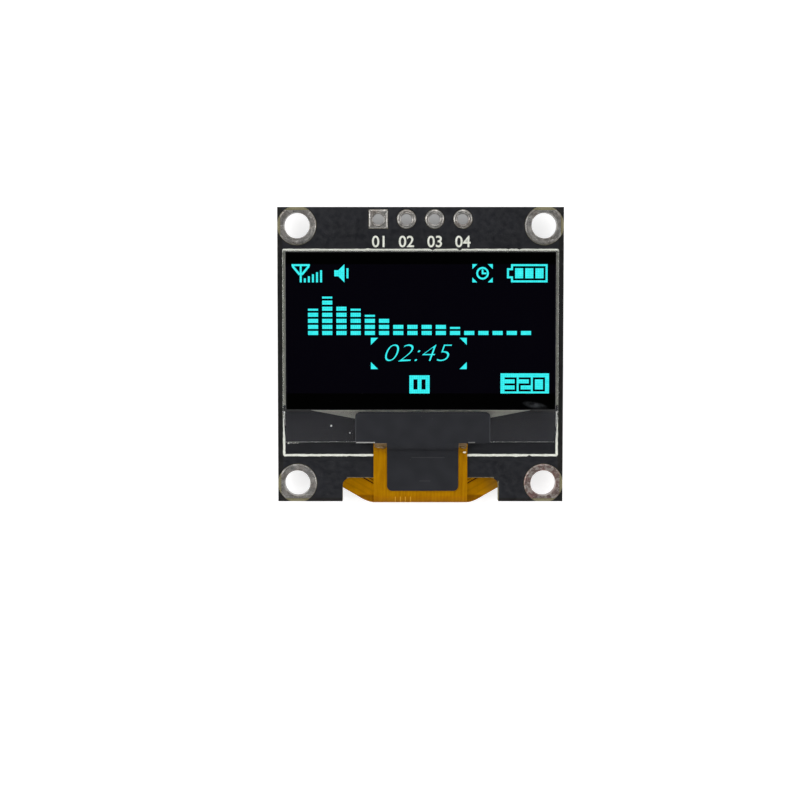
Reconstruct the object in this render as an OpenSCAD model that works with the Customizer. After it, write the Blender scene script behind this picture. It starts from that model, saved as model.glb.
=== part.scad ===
// Small monochrome OLED display module on a square circuit board, with a
// four-hole header row, four mounting holes and a flex cable folded through
// a notch in the lower edge. Millimetres, +Z up, display facing up, header
// row towards +Y. X = 0 and Y = 0 are the centre of the board, and Z = 0 is
// the plane under the tallest part on the back.

/* [Board] */
// Width of the circuit board (X)
board_w = 25.8; // [25.6:0.1:27]
// Height of the circuit board (Y)
board_h = 26.6; // [26.4:0.1:28]
// Thickness of the board with its solder mask
board_t = 1.2; // [1:0.1:1.6]
// Thickness of the solder mask on each face
mask_t = 0.03; // [0.02:0.01:0.04]

/* [Mounting holes] */
// Diameter of the plated mounting holes
hole_d = 2.3; // [2:0.1:2.5]
// Distance from the board's side edges to the mounting holes
hole_side = 1.75; // [1.6:0.05:2]
// Distance from the board's top and bottom edges to the mounting holes
hole_end = 1.65; // [1.5:0.05:1.9]
// Diameter of the tinned ring round each mounting hole
ring_d = 3.5; // [3.4:0.05:3.6]
// Bare laminate kept between the copper and the board's edge
copper_pullback = 0.28; // [0.15:0.01:0.35]

/* [Header row] */
// Spacing of the four header holes
pin_pitch = 2.54; // [2:0.01:2.54]
// Diameter of each plated header hole
pin_hole_d = 1.0; // [0.9:0.05:1.1]
// Diameter of the round header pads, and the side of the square one
pin_pad_d = 1.7; // [1.6:0.05:1.9]
// Distance from the board's top edge to the header holes
pin_inset = 1.08; // [1:0.02:1.3]

/* [Notch] */
// Width of the notch that the flex cable folds through
notch_w = 14.15; // [13:0.05:14.4]
// Depth of the notch
notch_depth = 2.15; // [2:0.05:2.5]
// Radius of the notch's inner corners
notch_r = 0.75; // [0.4:0.05:1]

/* [Glass panel] */
// Width of both sheets of glass
panel_w = 24.74; // [24:0.02:25]
// Distance from the board's top edge to the glass
panel_drop = 3.94; // [3.9:0.01:4]
// Distance from the board's lower edge to the glass
panel_rise = 5.48; // [5.38:0.02:5.58]
// Height of the ledge of front glass below the shorter glass behind it
ledge_h = 2.76; // [2.6:0.01:2.9]
// Thickness of each sheet of glass
glass_t = 0.5; // [0.4:0.05:0.7]
// Thickness of the adhesive pad between the glass and the board
pad_t = 0.15; // [0.1:0.05:0.3]
// Bare glass left at each side of the dark polarizing film
film_side = 0.25; // [0.2:0.01:0.6]
// Bare glass left above the dark polarizing film
film_end = 0.1; // [0.08:0.01:0.2]
// Thickness of the dark polarizing film
film_t = 0.18; // [0.12:0.02:0.24]

/* [Lit picture] */
// Dark border at each side of the lit picture, which is 128 dots across
picture_side = 0.51; // [0.45:0.01:1.2]
// Dark border above the lit picture
picture_end = 1.12; // [0.9:0.01:1.3]
// Dark border below the lit picture, which is 64 dots down
picture_low = 1.5; // [1.3:0.01:2]

/* [Flex cable] */
// Thickness of the flex cable
flex_t = 0.1; // [0.08:0.01:0.14]
// Width of its neck over the front of the board
neck_w = 8.5; // [8:0.1:9]
// Width of its tail on the back of the board
tail_w = 19; // [18.6:0.1:19.2]
// Distance from the board's lower edge to the end of its tail
tail_rise = 6; // [5.8:0.1:6.4]
// Slope of its shoulders when the cable is laid flat
shoulder_angle = 30; // [27:1:36]
// How far the fold stands out past the board's lower edge
fold_out = 0.17; // [0:0.01:0.3]
// Spacing of its thirty soldered fingers
finger_pitch = 0.62; // [0.6:0.01:0.62]

/* [Black tape] */
// Width of the tape's upper part, across the glass
tape_w = 12.15; // [11:0.05:12.4]
// How far the tape was laid to the right of the cable's middle
tape_shift = 0.2; // [-0.3:0.05:0.3]
// Width of the tape's stem, down the flex cable
stem_w = 6.45; // [6:0.05:7]
// Distance from the board's lower edge to the end of the stem
stem_rise = 0.97; // [0.9:0.01:1.2]
// Thickness of the tape
tape_t = 0.06; // [0.04:0.01:0.08]

/* [Parts on the back] */
// Height of the voltage regulator, the tallest part on the back
regulator_h = 1.15; // [1.1:0.01:1.3]
// Height of the diode
diode_h = 0.95; // [0.8:0.05:1]
// Height of the ceramic capacitors
capacitor_h = 0.8; // [0.7:0.05:0.9]
// Height of the resistors
resistor_h = 0.45; // [0.4:0.05:0.6]

/* [Hidden] */
$fn = 64;
ARC_STEPS = 10;

// Colours
C_LAMINATE = [0.47, 0.43, 0.28];
C_MASK = [0.06, 0.065, 0.07];
C_SILK = [0.88, 0.88, 0.84];
C_TIN = [0.62, 0.61, 0.59];
C_GLASS = [0.42, 0.45, 0.42, 0.45];
C_SEAL = [0.5, 0.5, 0.43];
C_TRACE = [0.42, 0.42, 0.37];
C_FILM = [0.015, 0.017, 0.022];
C_LIT = [0.1, 0.86, 0.92];
C_FLEX = [0.78, 0.5, 0.04];
C_GLUE = [0.32, 0.2, 0.06];
C_TAPE = [0.14, 0.145, 0.15];
C_CHIP = [0.07, 0.07, 0.08];
C_CERAMIC = [0.66, 0.53, 0.38];

// Levels up the stack, from the back of the board to the film
back_z = regulator_h;
front_z = back_z + board_t;
cap_z = front_z + pad_t;
seal_t = 0.04;
glass_z = cap_z + glass_t + seal_t;
ledge_z = glass_z + glass_t;
film_z = ledge_z + film_t;

// Board outline
top_y = board_h / 2;
bottom_y = -board_h / 2;
notch_y = bottom_y + notch_depth;
pin_y = top_y - pin_inset;
PINS = [for (i = [0:3]) (i - 1.5) * pin_pitch];
CORNERS = [[-1, 1], [1, 1], [-1, -1], [1, -1]];
hole_dx = board_w - 2 * hole_side;
hole_dy = board_h - 2 * hole_end;

// Copper and tin on the laminate: thickness of the pads, and of the barrels
// in the mounting holes and in the header holes
plating_t = 0.05;
ring_wall = 0.05;
pin_wall = 0.17;
mask_gap = 0.02;
ring_gap = 0.03;

// Glass panel, with the ledge below the shorter sheet, whose edge shows as
// a fine seam below the film
seam = 0.14;
cap_rise = panel_rise + ledge_h;
panel_h = board_h - (panel_drop + panel_rise);
cap_h = board_h - (panel_drop + cap_rise);
glass_top = top_y - panel_drop;
glass_low = glass_top - panel_h;
cap_low = glass_top - cap_h;
film_w = panel_w - 2 * film_side;
film_h = cap_h - film_end - seam;
film_top = glass_top - film_end;
film_low = film_top - film_h;
seal_w = 0.9;
pad_margin = 0.5;
driver_l = 6.9;
driver_w = 0.9;
driver_t = 0.3;
driver_drop = 0.3;
fan_side = 2.25;
fan_foot = 1.15;
fan_drop = 1;

// White frame line printed round the panel
frame_w = panel_w + 0.1;
frame_top = glass_top + 0.08;
frame_low = glass_low - 1.28;
line_w = 0.21;
ink_t = 0.02;

// Lit picture: a grid of dots on the film
lit_t = 0.02;
COLUMNS = 128;
ROWS = 64;
dot_w = (film_w - 2 * picture_side) / COLUMNS;
dot_h = (film_h - picture_end - picture_low) / ROWS;
picture_top = film_top - picture_end;
// Level bars, in dots: step and width of the bars, step and height of the
// blocks, and the row that the bars stand on
bar_step = 7;
bar_dots = 5;
block_step = 3;
block_dots = 2;
cap_dots = 1;
floor_row = 35;
bar_start = 8;
// Full blocks in each of the sixteen level bars, and which have a thin cap
BAR_BLOCKS = [4, 6, 5, 4, 3, 3, 2, 2, 2, 2, 1, 1, 1, 1, 1, 1];
BAR_CAPS = [0, 1, 3, 4, 10];

// Flex cable: it leaves the ledge's underside, steps down to the board,
// runs into the notch and folds round to the back
seat_gap = 0.03;
bond_gap = 0.02;
bond_len = 0.85;
flex_front = front_z + seat_gap;
flex_bond = glass_z - bond_gap - flex_t;
flex_back = back_z - seat_gap - flex_t;
fold_r = (flex_front + flex_t - flex_back) / 2;
fold_y = bottom_y - fold_out + fold_r;
fold_z = flex_back + fold_r;
step_y = glass_low - 0.1;
step_angle = 57;
tail_end = bottom_y + tail_rise;
finger_w = 0.34;
finger_count = 30;
joint_over = 0.85;
joint_past = 0.75;

// Tape: the same step, down from the ledge's front to the cable
tape_y = glass_low - 0.04;
tape_step = 75;
tape_top = cap_low - 0.12;
tape_hang = 0.18;
tape_r = 0.45;
stem_low = bottom_y + stem_rise;

// Small chips on the back: length, width, metal end length
CHIP = [1.6, 0.8, 0.32];
solder_t = 0.03;
solder_toe = 0.45;
solder_heel = 0.3;
// Rows of parts on the back, one above the cable's tail and the rest at
// distances below the header holes
low_row = tail_end + 3.4;
row_step = 4.2;
// Centre and turn of each capacitor and resistor
CAPACITORS = [
    [-2 * row_step, low_row, 0], [-row_step, low_row, 0],
    [row_step, low_row, 0], [2 * row_step, low_row, 0],
    [3.4, pin_y - 7.6, 90], [9.6, pin_y - 11, 90], [-10.4, pin_y - 10, 90],
];
RESISTORS = [
    [0, low_row, 0], [-1.6, pin_y - 4.2, 90], [0.4, pin_y - 4.2, 90],
    [-5.4, pin_y - 4.6, 0], [-5.4, pin_y - 6.1, 0], [-2.6, pin_y - 10.4, 0],
];

// Regulator and diode: centre, body length and width, lead size
REGULATOR = [6.9, pin_y - 7.6];
regulator_l = 2.92;
regulator_w = 1.3;
regulator_span = 2.4;
lead_w = 0.4;
lead_pitch = 0.95;
DIODE = [-6.8, pin_y - 10];
diode_l = 1.7;
diode_w = 1.25;
diode_span = 2.5;
lead_t = 0.15;
body_lift = 0.08;

// ---- Helpers -------------------------------------------------------------

// Centre of mounting hole i, counted from the upper left
function hole_at(i) = [CORNERS[i].x * hole_dx / 2, CORNERS[i].y * hole_dy / 2];

// Place on the lit picture from a column and a row of dots
function dot_x(c) = (c - COLUMNS / 2) * dot_w;
function dot_y(r) = picture_top - r * dot_h;

// A plate between two heights, from a flat outline
module plate(z, t) {
    translate([0, 0, z]) linear_extrude(t) children();
}

// An outline drawn in (Y, Z), stretched across X and centred on it
module across(w) {
    translate([-w / 2, 0, 0]) rotate([90, 0, 90]) linear_extrude(w) children();
}

// A part seen from the back: its local Z runs down from the board
module on_back(at, turn = 0) {
    translate([at.x, at.y, back_z]) rotate([180, 0, turn]) children();
}

// Part of a ring, between two angles, for the bends in a cable's outline
module ring_part(r, t, a0, a1) {
    reach = 3 * r;
    mid = (a0 + a1) / 2;
    intersection() {
        difference() {
            circle(r = r);
            circle(r = r - t);
        }
        polygon([
            [0, 0],
            reach * [cos(a0), sin(a0)],
            reach * [cos(mid), sin(mid)],
            reach * [cos(a1), sin(a1)],
        ]);
    }
}

// Points along an arc, from its step number first to its last
function arc(c, r, a0, a1, first = 0) = [
    for (k = [first:ARC_STEPS])
        let (a = a0 + (a1 - a0) * k / ARC_STEPS) c + r * [cos(a), sin(a)]
];

// A strip that steps down while it runs towards -Y, in (Y, Z), from the
// middle of its thickness: one arc over, then one arc under
module step_down(y, z, drop, t, turn) {
    r = drop / (2 * (1 - cos(turn)));
    outer = r + t / 2;
    inner = r - t / 2;
    high = [y, z - r];
    low = [y - 2 * r * sin(turn), z - drop + r];
    polygon(concat(
        arc(high, outer, 90, 90 + turn),
        arc(low, inner, 270 + turn, 270, 1),
        arc(low, outer, 270, 270 + turn),
        arc(high, inner, 90 + turn, 90, 1)
    ));
}

// How far a strip runs while it steps down
function step_run(drop, turn) = drop * sin(turn) / (1 - cos(turn));

// A rectangle of the lit picture, from column and row to column and row
module dots(c0, r0, c1, r1) {
    translate([dot_x(c0), dot_y(r1)])
        square([(c1 - c0) * dot_w, (r1 - r0) * dot_h]);
}

// ---- Board ---------------------------------------------------------------

// Board outline with the notch and its round inner corners
module board_outline() {
    difference() {
        square([board_w, board_h], center = true);
        translate([-notch_w / 2, bottom_y - 1])
            square([notch_w, notch_depth - notch_r + 1]);
        translate([-notch_w / 2 + notch_r, bottom_y - 1])
            square([notch_w - 2 * notch_r, notch_depth + 1]);
        for (s = [-1, 1])
            translate([s * (notch_w / 2 - notch_r), notch_y - notch_r])
                circle(r = notch_r);
    }
}

// The area that copper may cover
module copper_area() {
    square(
        [board_w - 2 * copper_pullback, board_h - 2 * copper_pullback],
        center = true
    );
}

module circuit_board() {
    color(C_LAMINATE)
        plate(back_z + mask_t, board_t - 2 * mask_t)
            difference() {
                board_outline();
                for (i = [0:3])
                    translate(hole_at(i)) circle(d = hole_d + 2 * ring_wall);
                for (x = PINS)
                    translate([x, pin_y]) circle(d = pin_hole_d + 2 * pin_wall);
            }
}

// Solder mask outline, open round the rings and the header pads
module mask_outline() {
    difference() {
        board_outline();
        for (i = [0:3])
            translate(hole_at(i)) circle(d = ring_d + 2 * ring_gap);
        for (i = [0:3])
            translate([PINS[i], pin_y]) pad_outline(i, pin_pad_d + 2 * mask_gap);
    }
}

module front_mask() {
    color(C_MASK) plate(front_z - mask_t, mask_t) mask_outline();
}

module back_mask() {
    color(C_MASK) plate(back_z, mask_t) mask_outline();
}

// Header pad shape: the first is square, the others are round
module pad_outline(i, size) {
    if (i == 0) {
        square(size, center = true);
    } else {
        circle(d = size);
    }
}

// A plated hole: a flange on each face and the barrel between them
module plated_hole(d, wall) {
    difference() {
        union() {
            plate(back_z + mask_t - plating_t, plating_t) children();
            plate(front_z - mask_t, plating_t) children();
            translate([0, 0, back_z + mask_t])
                cylinder(h = board_t - 2 * mask_t, d = d + 2 * wall);
        }
        translate([0, 0, back_z - 1]) cylinder(h = board_t + 2, d = d);
    }
}

module mounting_ring(i) {
    at = hole_at(i);
    color(C_TIN)
        translate(at)
            plated_hole(hole_d, ring_wall)
                intersection() {
                    circle(d = ring_d);
                    translate(-at) copper_area();
                }
}

module header_pad(i) {
    color(C_TIN)
        translate([PINS[i], pin_y])
            plated_hole(pin_hole_d, pin_wall) pad_outline(i, pin_pad_d);
}

// ---- Print ---------------------------------------------------------------

// A printed rectangle: only its line
module line_box(w, h) {
    difference() {
        square([w + line_w, h + line_w], center = true);
        square([w - line_w, h - line_w], center = true);
    }
}

module front_print() {
    color(C_SILK)
        translate([0, (frame_top + frame_low) / 2])
            plate(front_z, ink_t) line_box(frame_w, frame_top - frame_low);
}

// Plain outlines beside the larger parts on the back
module back_print() {
    color(C_SILK)
        plate(back_z - ink_t, ink_t) {
            translate(REGULATOR) line_box(regulator_l + 0.9, regulator_span + 1.6);
            translate(DIODE) line_box(diode_span + 1.6, diode_w + 0.9);
            translate([(PINS[0] + PINS[3]) / 2, pin_y - 1.55])
                square([PINS[3] - PINS[0] + pin_pad_d, line_w], center = true);
        }
}

// ---- Glass panel ---------------------------------------------------------

// A rectangle that hangs from a height on the board, centred on X
module hung(w, h, y) {
    translate([-w / 2, y - h]) square([w, h]);
}

module adhesive_pad() {
    color(C_MASK)
        plate(front_z + ink_t, pad_t - ink_t)
            hung(
                panel_w - 2 * pad_margin,
                cap_h - 2 * pad_margin,
                glass_top - pad_margin
            );
}

module cap_glass() {
    color(C_GLASS) plate(cap_z, glass_t) hung(panel_w, cap_h, glass_top);
}

module seal_frame() {
    color(C_SEAL)
        plate(cap_z + glass_t, seal_t)
            difference() {
                hung(panel_w, cap_h, glass_top);
                hung(panel_w - 2 * seal_w, cap_h - 2 * seal_w, glass_top - seal_w);
            }
}

module front_glass() {
    color(C_GLASS) plate(glass_z, glass_t) hung(panel_w, panel_h, glass_top);
}

// Field of fine traces under the ledge, drawn in towards the driver chip
module trace_fan() {
    wide = film_w / 2 - fan_side;
    narrow = driver_l / 2 + fan_foot;
    color(C_TRACE)
        plate(glass_z - bond_gap, bond_gap)
            polygon([
                [-wide, cap_low], [wide, cap_low],
                [narrow, cap_low - fan_drop], [-narrow, cap_low - fan_drop],
            ]);
}

module driver_chip() {
    color(C_CHIP)
        plate(glass_z - bond_gap - driver_t, driver_t)
            hung(driver_l, driver_w, cap_low - driver_drop);
}

module polarizer_film() {
    color(C_FILM) plate(ledge_z, film_t) hung(film_w, film_h, film_top);
}

// ---- Lit picture ---------------------------------------------------------

// Aerial: a bar, a V and a stem
module aerial_icon() {
    dots(0, 0, 9, 1.2);
    dots(4, 4.2, 5, 9);
    for (s = [-1, 1])
        polygon([
            [dot_x(4.5 + s * 4.5), dot_y(0.6)], [dot_x(4.5 + s * 3), dot_y(0.6)],
            [dot_x(4.5), dot_y(4)], [dot_x(4.5), dot_y(5.6)],
        ]);
}

// Five rising bars beside the aerial
module strength_icon() {
    for (i = [0:4]) dots(6 + 2 * i, 7 - i, 7 + 2 * i, 9);
}

// Loudspeaker: a box, a horn and one sound bar
module speaker_icon() {
    dots(21, 3, 23.2, 6);
    polygon([
        [dot_x(23.1), dot_y(3)], [dot_x(26), dot_y(0)],
        [dot_x(26), dot_y(9)], [dot_x(23.1), dot_y(6)],
    ]);
    dots(27, 2, 28, 7);
}

// Clock face between four corner marks
module clock_icon() {
    centre = [dot_x(94.5), dot_y(4.5)];
    translate(centre)
        difference() {
            circle(r = 3.1 * dot_h);
            circle(r = 2.2 * dot_h);
        }
    dots(94, 2.6, 95, 5);
    dots(94.5, 4, 96.4, 5);
    for (sx = [-1, 1], sy = [-1, 1])
        polygon([
            centre + [sx * 5.5 * dot_w, sy * 4.5 * dot_h],
            centre + [sx * 3 * dot_w, sy * 4.5 * dot_h],
            centre + [sx * 5.5 * dot_w, sy * 2 * dot_h],
        ]);
}

// Battery: an outline with its knob on the left, and three full cells
module battery_icon() {
    difference() {
        union() {
            dots(108, 0, 127, 9);
            dots(106, 2, 108.1, 7);
        }
        dots(109, 1, 126, 8);
        dots(107, 3, 109.1, 6);
    }
    for (i = [0:2]) dots(110 + 5 * i, 2, 114 + 5 * i, 7);
}

module status_icons() {
    color(C_LIT)
        plate(film_z, lit_t) {
            aerial_icon();
            strength_icon();
            speaker_icon();
            clock_icon();
            battery_icon();
        }
}

// One level bar: its stacked blocks, and a thin cap if it has one
module level_bar(i) {
    c = bar_start + bar_step * i;
    for (k = [0:BAR_BLOCKS[i] - 1]) {
        r = floor_row - block_step * k;
        dots(c, r - block_dots, c + bar_dots, r);
    }
    if (len(search(i, BAR_CAPS)) > 0) {
        r = floor_row - block_step * BAR_BLOCKS[i];
        dots(c, r - cap_dots, c + bar_dots, r);
    }
}

module level_bars() {
    color(C_LIT) plate(film_z, lit_t) for (i = [0:15]) level_bar(i);
}

// Triangular marks at the corners of the middle line of the display
module corner_marks() {
    marks = [39, 87];
    rows = [37, 52.4];
    size = 3.8;
    for (sx = [0, 1], sy = [0, 1]) {
        x = dot_x(marks[sx]);
        y = dot_y(rows[sy]);
        ix = (1 - 2 * sx) * size * dot_w;
        iy = (2 * sy - 1) * size * dot_h;
        polygon([[x, y], [x + ix, y], [x, y + iy]]);
    }
}

module pause_icon() {
    difference() {
        dots(58, 55, 68, 64);
        dots(60, 57, 62, 62);
        dots(64, 57, 66, 62);
    }
}

module player_marks() {
    color(C_LIT)
        plate(film_z, lit_t) {
            corner_marks();
            pause_icon();
            dots(103, 54, 127, ROWS);
        }
}

// ---- Flex cable ----------------------------------------------------------

// Height that the cable steps down from the ledge to the board
flex_drop = flex_bond - flex_front;
step_end = step_y - step_run(flex_drop, step_angle);

// Side outline of the front leg and of the upper half of the fold
module flex_front_side() {
    translate([step_y, flex_bond]) square([glass_low + bond_len - step_y, flex_t]);
    step_down(step_y, flex_bond + flex_t / 2, flex_drop, flex_t, step_angle);
    translate([fold_y, flex_front]) square([step_end - fold_y, flex_t]);
    translate([fold_y, fold_z]) ring_part(fold_r, flex_t, 90, 180);
}

// Side outline of the lower half of the fold and of the tail
module flex_back_side() {
    translate([fold_y, fold_z]) ring_part(fold_r, flex_t, 180, 270);
    translate([fold_y, flex_back]) square([tail_end - fold_y, flex_t]);
}

// The shoulder's cut edge seen from above: a straight cut that wraps the fold
function wrapped(s) = s < fold_r * PI / 2
    ? fold_y - fold_r * cos(s / fold_r * 180 / PI)
    : fold_y + s - fold_r * PI / 2;
shoulder_out = (tail_w - neck_w) / 2;
shoulder_steps = 12;
SHOULDER = [
    for (k = [0:shoulder_steps])
        let (out = shoulder_out * k / shoulder_steps)
            [neck_w / 2 + out, wrapped(out * tan(shoulder_angle))],
];

// Outline of the back half from above
module flex_back_plan() {
    far = shoulder_steps;
    polygon(concat(
        [for (k = [0:far]) SHOULDER[k]],
        [[tail_w / 2, tail_end + 1], [-tail_w / 2, tail_end + 1]],
        [for (k = [0:far]) [-SHOULDER[far - k].x, SHOULDER[far - k].y]]
    ));
}

module flex_cable() {
    color(C_FLEX) {
        across(neck_w) flex_front_side();
        intersection() {
            across(tail_w) flex_back_side();
            plate(0, fold_z) flex_back_plan();
        }
    }
}

// Bead of glue in the corner between the ledge's edge and the cable's step,
// just clear of the cable's curved top
module flex_glue() {
    glue_w = neck_w - 0.2;
    glue_turn = 42;
    bend = flex_drop / (2 * (1 - cos(step_angle)));
    r = bend + flex_t / 2 + 0.01;
    centre = [step_y, flex_bond + flex_t / 2 - bend];
    color(C_GLUE)
        across(glue_w)
            polygon(concat(
                [
                    [glass_low, flex_bond + flex_t + 0.01],
                    [glass_low, ledge_z - 0.15],
                    [glass_low - 0.12, ledge_z - 0.22],
                ],
                arc(centre, r, 90 + glue_turn, 90)
            ));
}

// Thirty solder joints over the end of the tail and the pads beside it
module flex_joints() {
    thick = back_z - flex_back;
    color(C_TIN)
        for (i = [0:finger_count - 1])
            translate([(i - (finger_count - 1) / 2) * finger_pitch, 0, 0])
                across(finger_w)
                    translate([tail_end, back_z])
                        polygon([
                            [0, 0], [joint_past, 0], [joint_past, -0.04],
                            [0.3, -thick - 0.02], [0, -thick - 0.1],
                            [-0.3, -thick - 0.1], [-joint_over, -thick - 0.03],
                            [-joint_over, -thick], [0, -thick],
                        ]);
}

// ---- Black tape ----------------------------------------------------------

// The T seen from above
module tape_plan() {
    bar_low = glass_low - tape_hang;
    translate([-tape_w / 2 + tape_r, bar_low])
        square([tape_w - 2 * tape_r, tape_top - bar_low]);
    translate([-tape_w / 2, bar_low])
        square([tape_w, tape_top - bar_low - tape_r]);
    translate([-stem_w / 2 + tape_r, stem_low])
        square([stem_w - 2 * tape_r, bar_low - stem_low]);
    translate([-stem_w / 2, stem_low + tape_r])
        square([stem_w, bar_low - stem_low - tape_r]);
    for (s = [-1, 1]) {
        translate([s * (tape_w / 2 - tape_r), tape_top - tape_r])
            circle(r = tape_r);
        translate([s * (stem_w / 2 - tape_r), stem_low + tape_r])
            circle(r = tape_r);
    }
}

// The stem from the side: along the ledge, down the step and over the cable
module stem_side() {
    seat = flex_front + flex_t + bond_gap;
    drop = ledge_z - seat;
    end = tape_y - step_run(drop, tape_step);
    translate([tape_y, ledge_z]) square([tape_top - tape_y, tape_t]);
    step_down(tape_y, ledge_z + tape_t / 2, drop, tape_t, tape_step);
    translate([stem_low, seat]) square([end - stem_low, tape_t]);
}

module black_tape() {
    color(C_TAPE) translate([tape_shift, 0, 0]) {
        intersection() {
            across(stem_w) stem_side();
            plate(0, film_z) tape_plan();
        }
        plate(ledge_z, tape_t)
            difference() {
                tape_plan();
                translate([-stem_w / 2, stem_low - 1])
                    square([stem_w, tape_y - stem_low + 1]);
            }
    }
}

// ---- Parts on the back ---------------------------------------------------

// A leaded package's body: a block with its long edges sloped
module package_body(l, w, h) {
    slope = 0.1;
    belt = 0.55 * h;
    translate([-l / 2, 0, 0])
        rotate([90, 0, 90])
            linear_extrude(l)
                polygon([
                    [-w / 2 + slope, body_lift], [w / 2 - slope, body_lift],
                    [w / 2, belt], [w / 2 - slope, h],
                    [-w / 2 + slope, h], [-w / 2, belt],
                ]);
}

// A bent lead that leaves the body at its belt and stands on the board
module gull_lead(from, to, h) {
    belt = 0.55 * h;
    half = lead_t / 2;
    foot = (to - from) * 0.4;
    translate([-lead_w / 2, 0, 0])
        rotate([90, 0, 90])
            linear_extrude(lead_w)
                polygon([
                    [from, belt - half], [from + foot - half, belt - half],
                    [from + foot, 0], [to, 0], [to, lead_t],
                    [from + foot + lead_t, lead_t],
                    [from + foot + half, belt + half], [from, belt + half],
                ]);
}

module regulator_body() {
    color(C_CHIP)
        on_back(REGULATOR) package_body(regulator_l, regulator_w, regulator_h);
}

// Three leads: two on one side and one on the other
module regulator_leads() {
    from = regulator_w / 2;
    to = regulator_span / 2;
    color(C_TIN)
        on_back(REGULATOR) {
            for (s = [-1, 1])
                translate([s * lead_pitch, 0, 0]) gull_lead(from, to, regulator_h);
            rotate([0, 0, 180]) gull_lead(from, to, regulator_h);
        }
}

module diode_body() {
    color(C_CHIP) on_back(DIODE) package_body(diode_l, diode_w, diode_h);
}

module diode_leads() {
    color(C_TIN)
        on_back(DIODE)
            for (a = [-90, 90])
                rotate([0, 0, a]) gull_lead(diode_l / 2, diode_span / 2, diode_h);
}

// A chip with a metal cap on each end, a little thicker than its body
module chip(h) {
    l = CHIP[0];
    w = CHIP[1];
    metal = CHIP[2];
    skin = 0.02;
    translate([-l / 2 + metal, -w / 2 + skin, solder_t + skin])
        cube([l - 2 * metal, w - 2 * skin, h - 2 * skin - solder_t]);
    for (s = [-1, 1])
        translate([s * (l - metal) / 2 - metal / 2, -w / 2, solder_t])
            cube([metal, w, h - solder_t]);
}

module capacitor(i) {
    color(C_CERAMIC) on_back(CAPACITORS[i], CAPACITORS[i].z) chip(capacitor_h);
}

module resistor(i) {
    color(C_CHIP) on_back(RESISTORS[i], RESISTORS[i].z) chip(resistor_h);
}

// The pad under a chip's end and the solder climbing that end
module solder_fillet(h) {
    translate([0, CHIP[1] / 2, 0])
        rotate([90, 0, 0])
            linear_extrude(CHIP[1])
                polygon([
                    [-solder_heel, 0], [solder_toe, 0], [solder_toe, solder_t],
                    [0.12, 0.2 * h], [0, 0.6 * h], [0, solder_t],
                    [-solder_heel, solder_t],
                ]);
}

// Both joints of every chip in a list
module joints(list, h) {
    for (c = list, a = [0, 180])
        on_back(c, c.z) rotate([0, 0, a]) translate([CHIP[0] / 2, 0, 0]) solder_fillet(h);
}

module chip_solder() {
    color(C_TIN) {
        joints(CAPACITORS, capacitor_h);
        joints(RESISTORS, resistor_h);
    }
}

// ---- Drawing -------------------------------------------------------------

circuit_board();
front_mask();
back_mask();
mounting_ring(0);  // mounting_ring_1
mounting_ring(1);  // mounting_ring_2
mounting_ring(2);  // mounting_ring_3
mounting_ring(3);  // mounting_ring_4
header_pad(0);  // header_pad_1
header_pad(1);  // header_pad_2
header_pad(2);  // header_pad_3
header_pad(3);  // header_pad_4
front_print();
back_print();
adhesive_pad();
cap_glass();
seal_frame();
front_glass();
trace_fan();
polarizer_film();
status_icons();
level_bars();
player_marks();
driver_chip();
flex_cable();
flex_glue();
flex_joints();
black_tape();
regulator_body();
regulator_leads();
diode_body();
diode_leads();
capacitor(0);  // capacitor_1
capacitor(1);  // capacitor_2
capacitor(2);  // capacitor_3
capacitor(3);  // capacitor_4
capacitor(4);  // capacitor_5
capacitor(5);  // capacitor_6
capacitor(6);  // capacitor_7
resistor(0);  // resistor_1
resistor(1);  // resistor_2
resistor(2);  // resistor_3
resistor(3);  // resistor_4
resistor(4);  // resistor_5
resistor(5);  // resistor_6
chip_solder();
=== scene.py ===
# %% [markdown]
# # A small display module, dressed in Blender
# The module is a square black circuit board that carries a sheet of glass
# with a lit picture, a row of four header holes, and an amber flex cable
# that folds through a notch to the back. Its solid model is loaded first and
# stays fixed. Every new piece is then modelled over it in the same place.

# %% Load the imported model
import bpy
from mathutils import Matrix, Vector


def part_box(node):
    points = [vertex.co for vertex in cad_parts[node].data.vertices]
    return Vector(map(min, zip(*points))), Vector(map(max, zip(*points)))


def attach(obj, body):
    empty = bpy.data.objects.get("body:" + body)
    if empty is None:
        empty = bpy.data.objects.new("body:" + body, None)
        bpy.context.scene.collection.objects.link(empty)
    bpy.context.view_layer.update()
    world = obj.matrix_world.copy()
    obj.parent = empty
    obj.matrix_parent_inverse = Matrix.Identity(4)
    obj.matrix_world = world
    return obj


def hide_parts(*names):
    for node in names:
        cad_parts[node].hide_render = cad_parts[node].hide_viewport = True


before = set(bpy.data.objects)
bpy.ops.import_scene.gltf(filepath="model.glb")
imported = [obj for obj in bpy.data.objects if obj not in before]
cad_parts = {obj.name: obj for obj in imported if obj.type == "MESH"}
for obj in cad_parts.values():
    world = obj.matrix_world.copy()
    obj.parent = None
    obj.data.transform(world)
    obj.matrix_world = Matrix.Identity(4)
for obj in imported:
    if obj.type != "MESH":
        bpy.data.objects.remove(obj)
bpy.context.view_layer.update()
print(len(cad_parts), "solid nodes loaded")

# %% [markdown]
# ## Tools of the bench
# Everything below is made with Blender's own operators, as by hand. An
# operator acts on whatever is selected, so a few helpers keep the selection
# clear: one picks an object, one opens it for editing, and one selects
# vertices, edges or faces by a test on their place.

# %% Modules and units
import bmesh
import bpy
import math
from mathutils import Vector

MM = 0.001
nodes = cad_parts


# %% Selecting and editing
def only(piece):
    """Selects one object and nothing else, and makes it the active one."""
    bpy.ops.object.select_all(action="DESELECT")
    piece.select_set(True)
    bpy.context.view_layer.objects.active = piece


def start_edit(piece):
    """Opens an object for editing with all of it selected."""
    only(piece)
    bpy.ops.object.mode_set(mode="EDIT")
    bpy.ops.mesh.select_all(action="SELECT")


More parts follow.
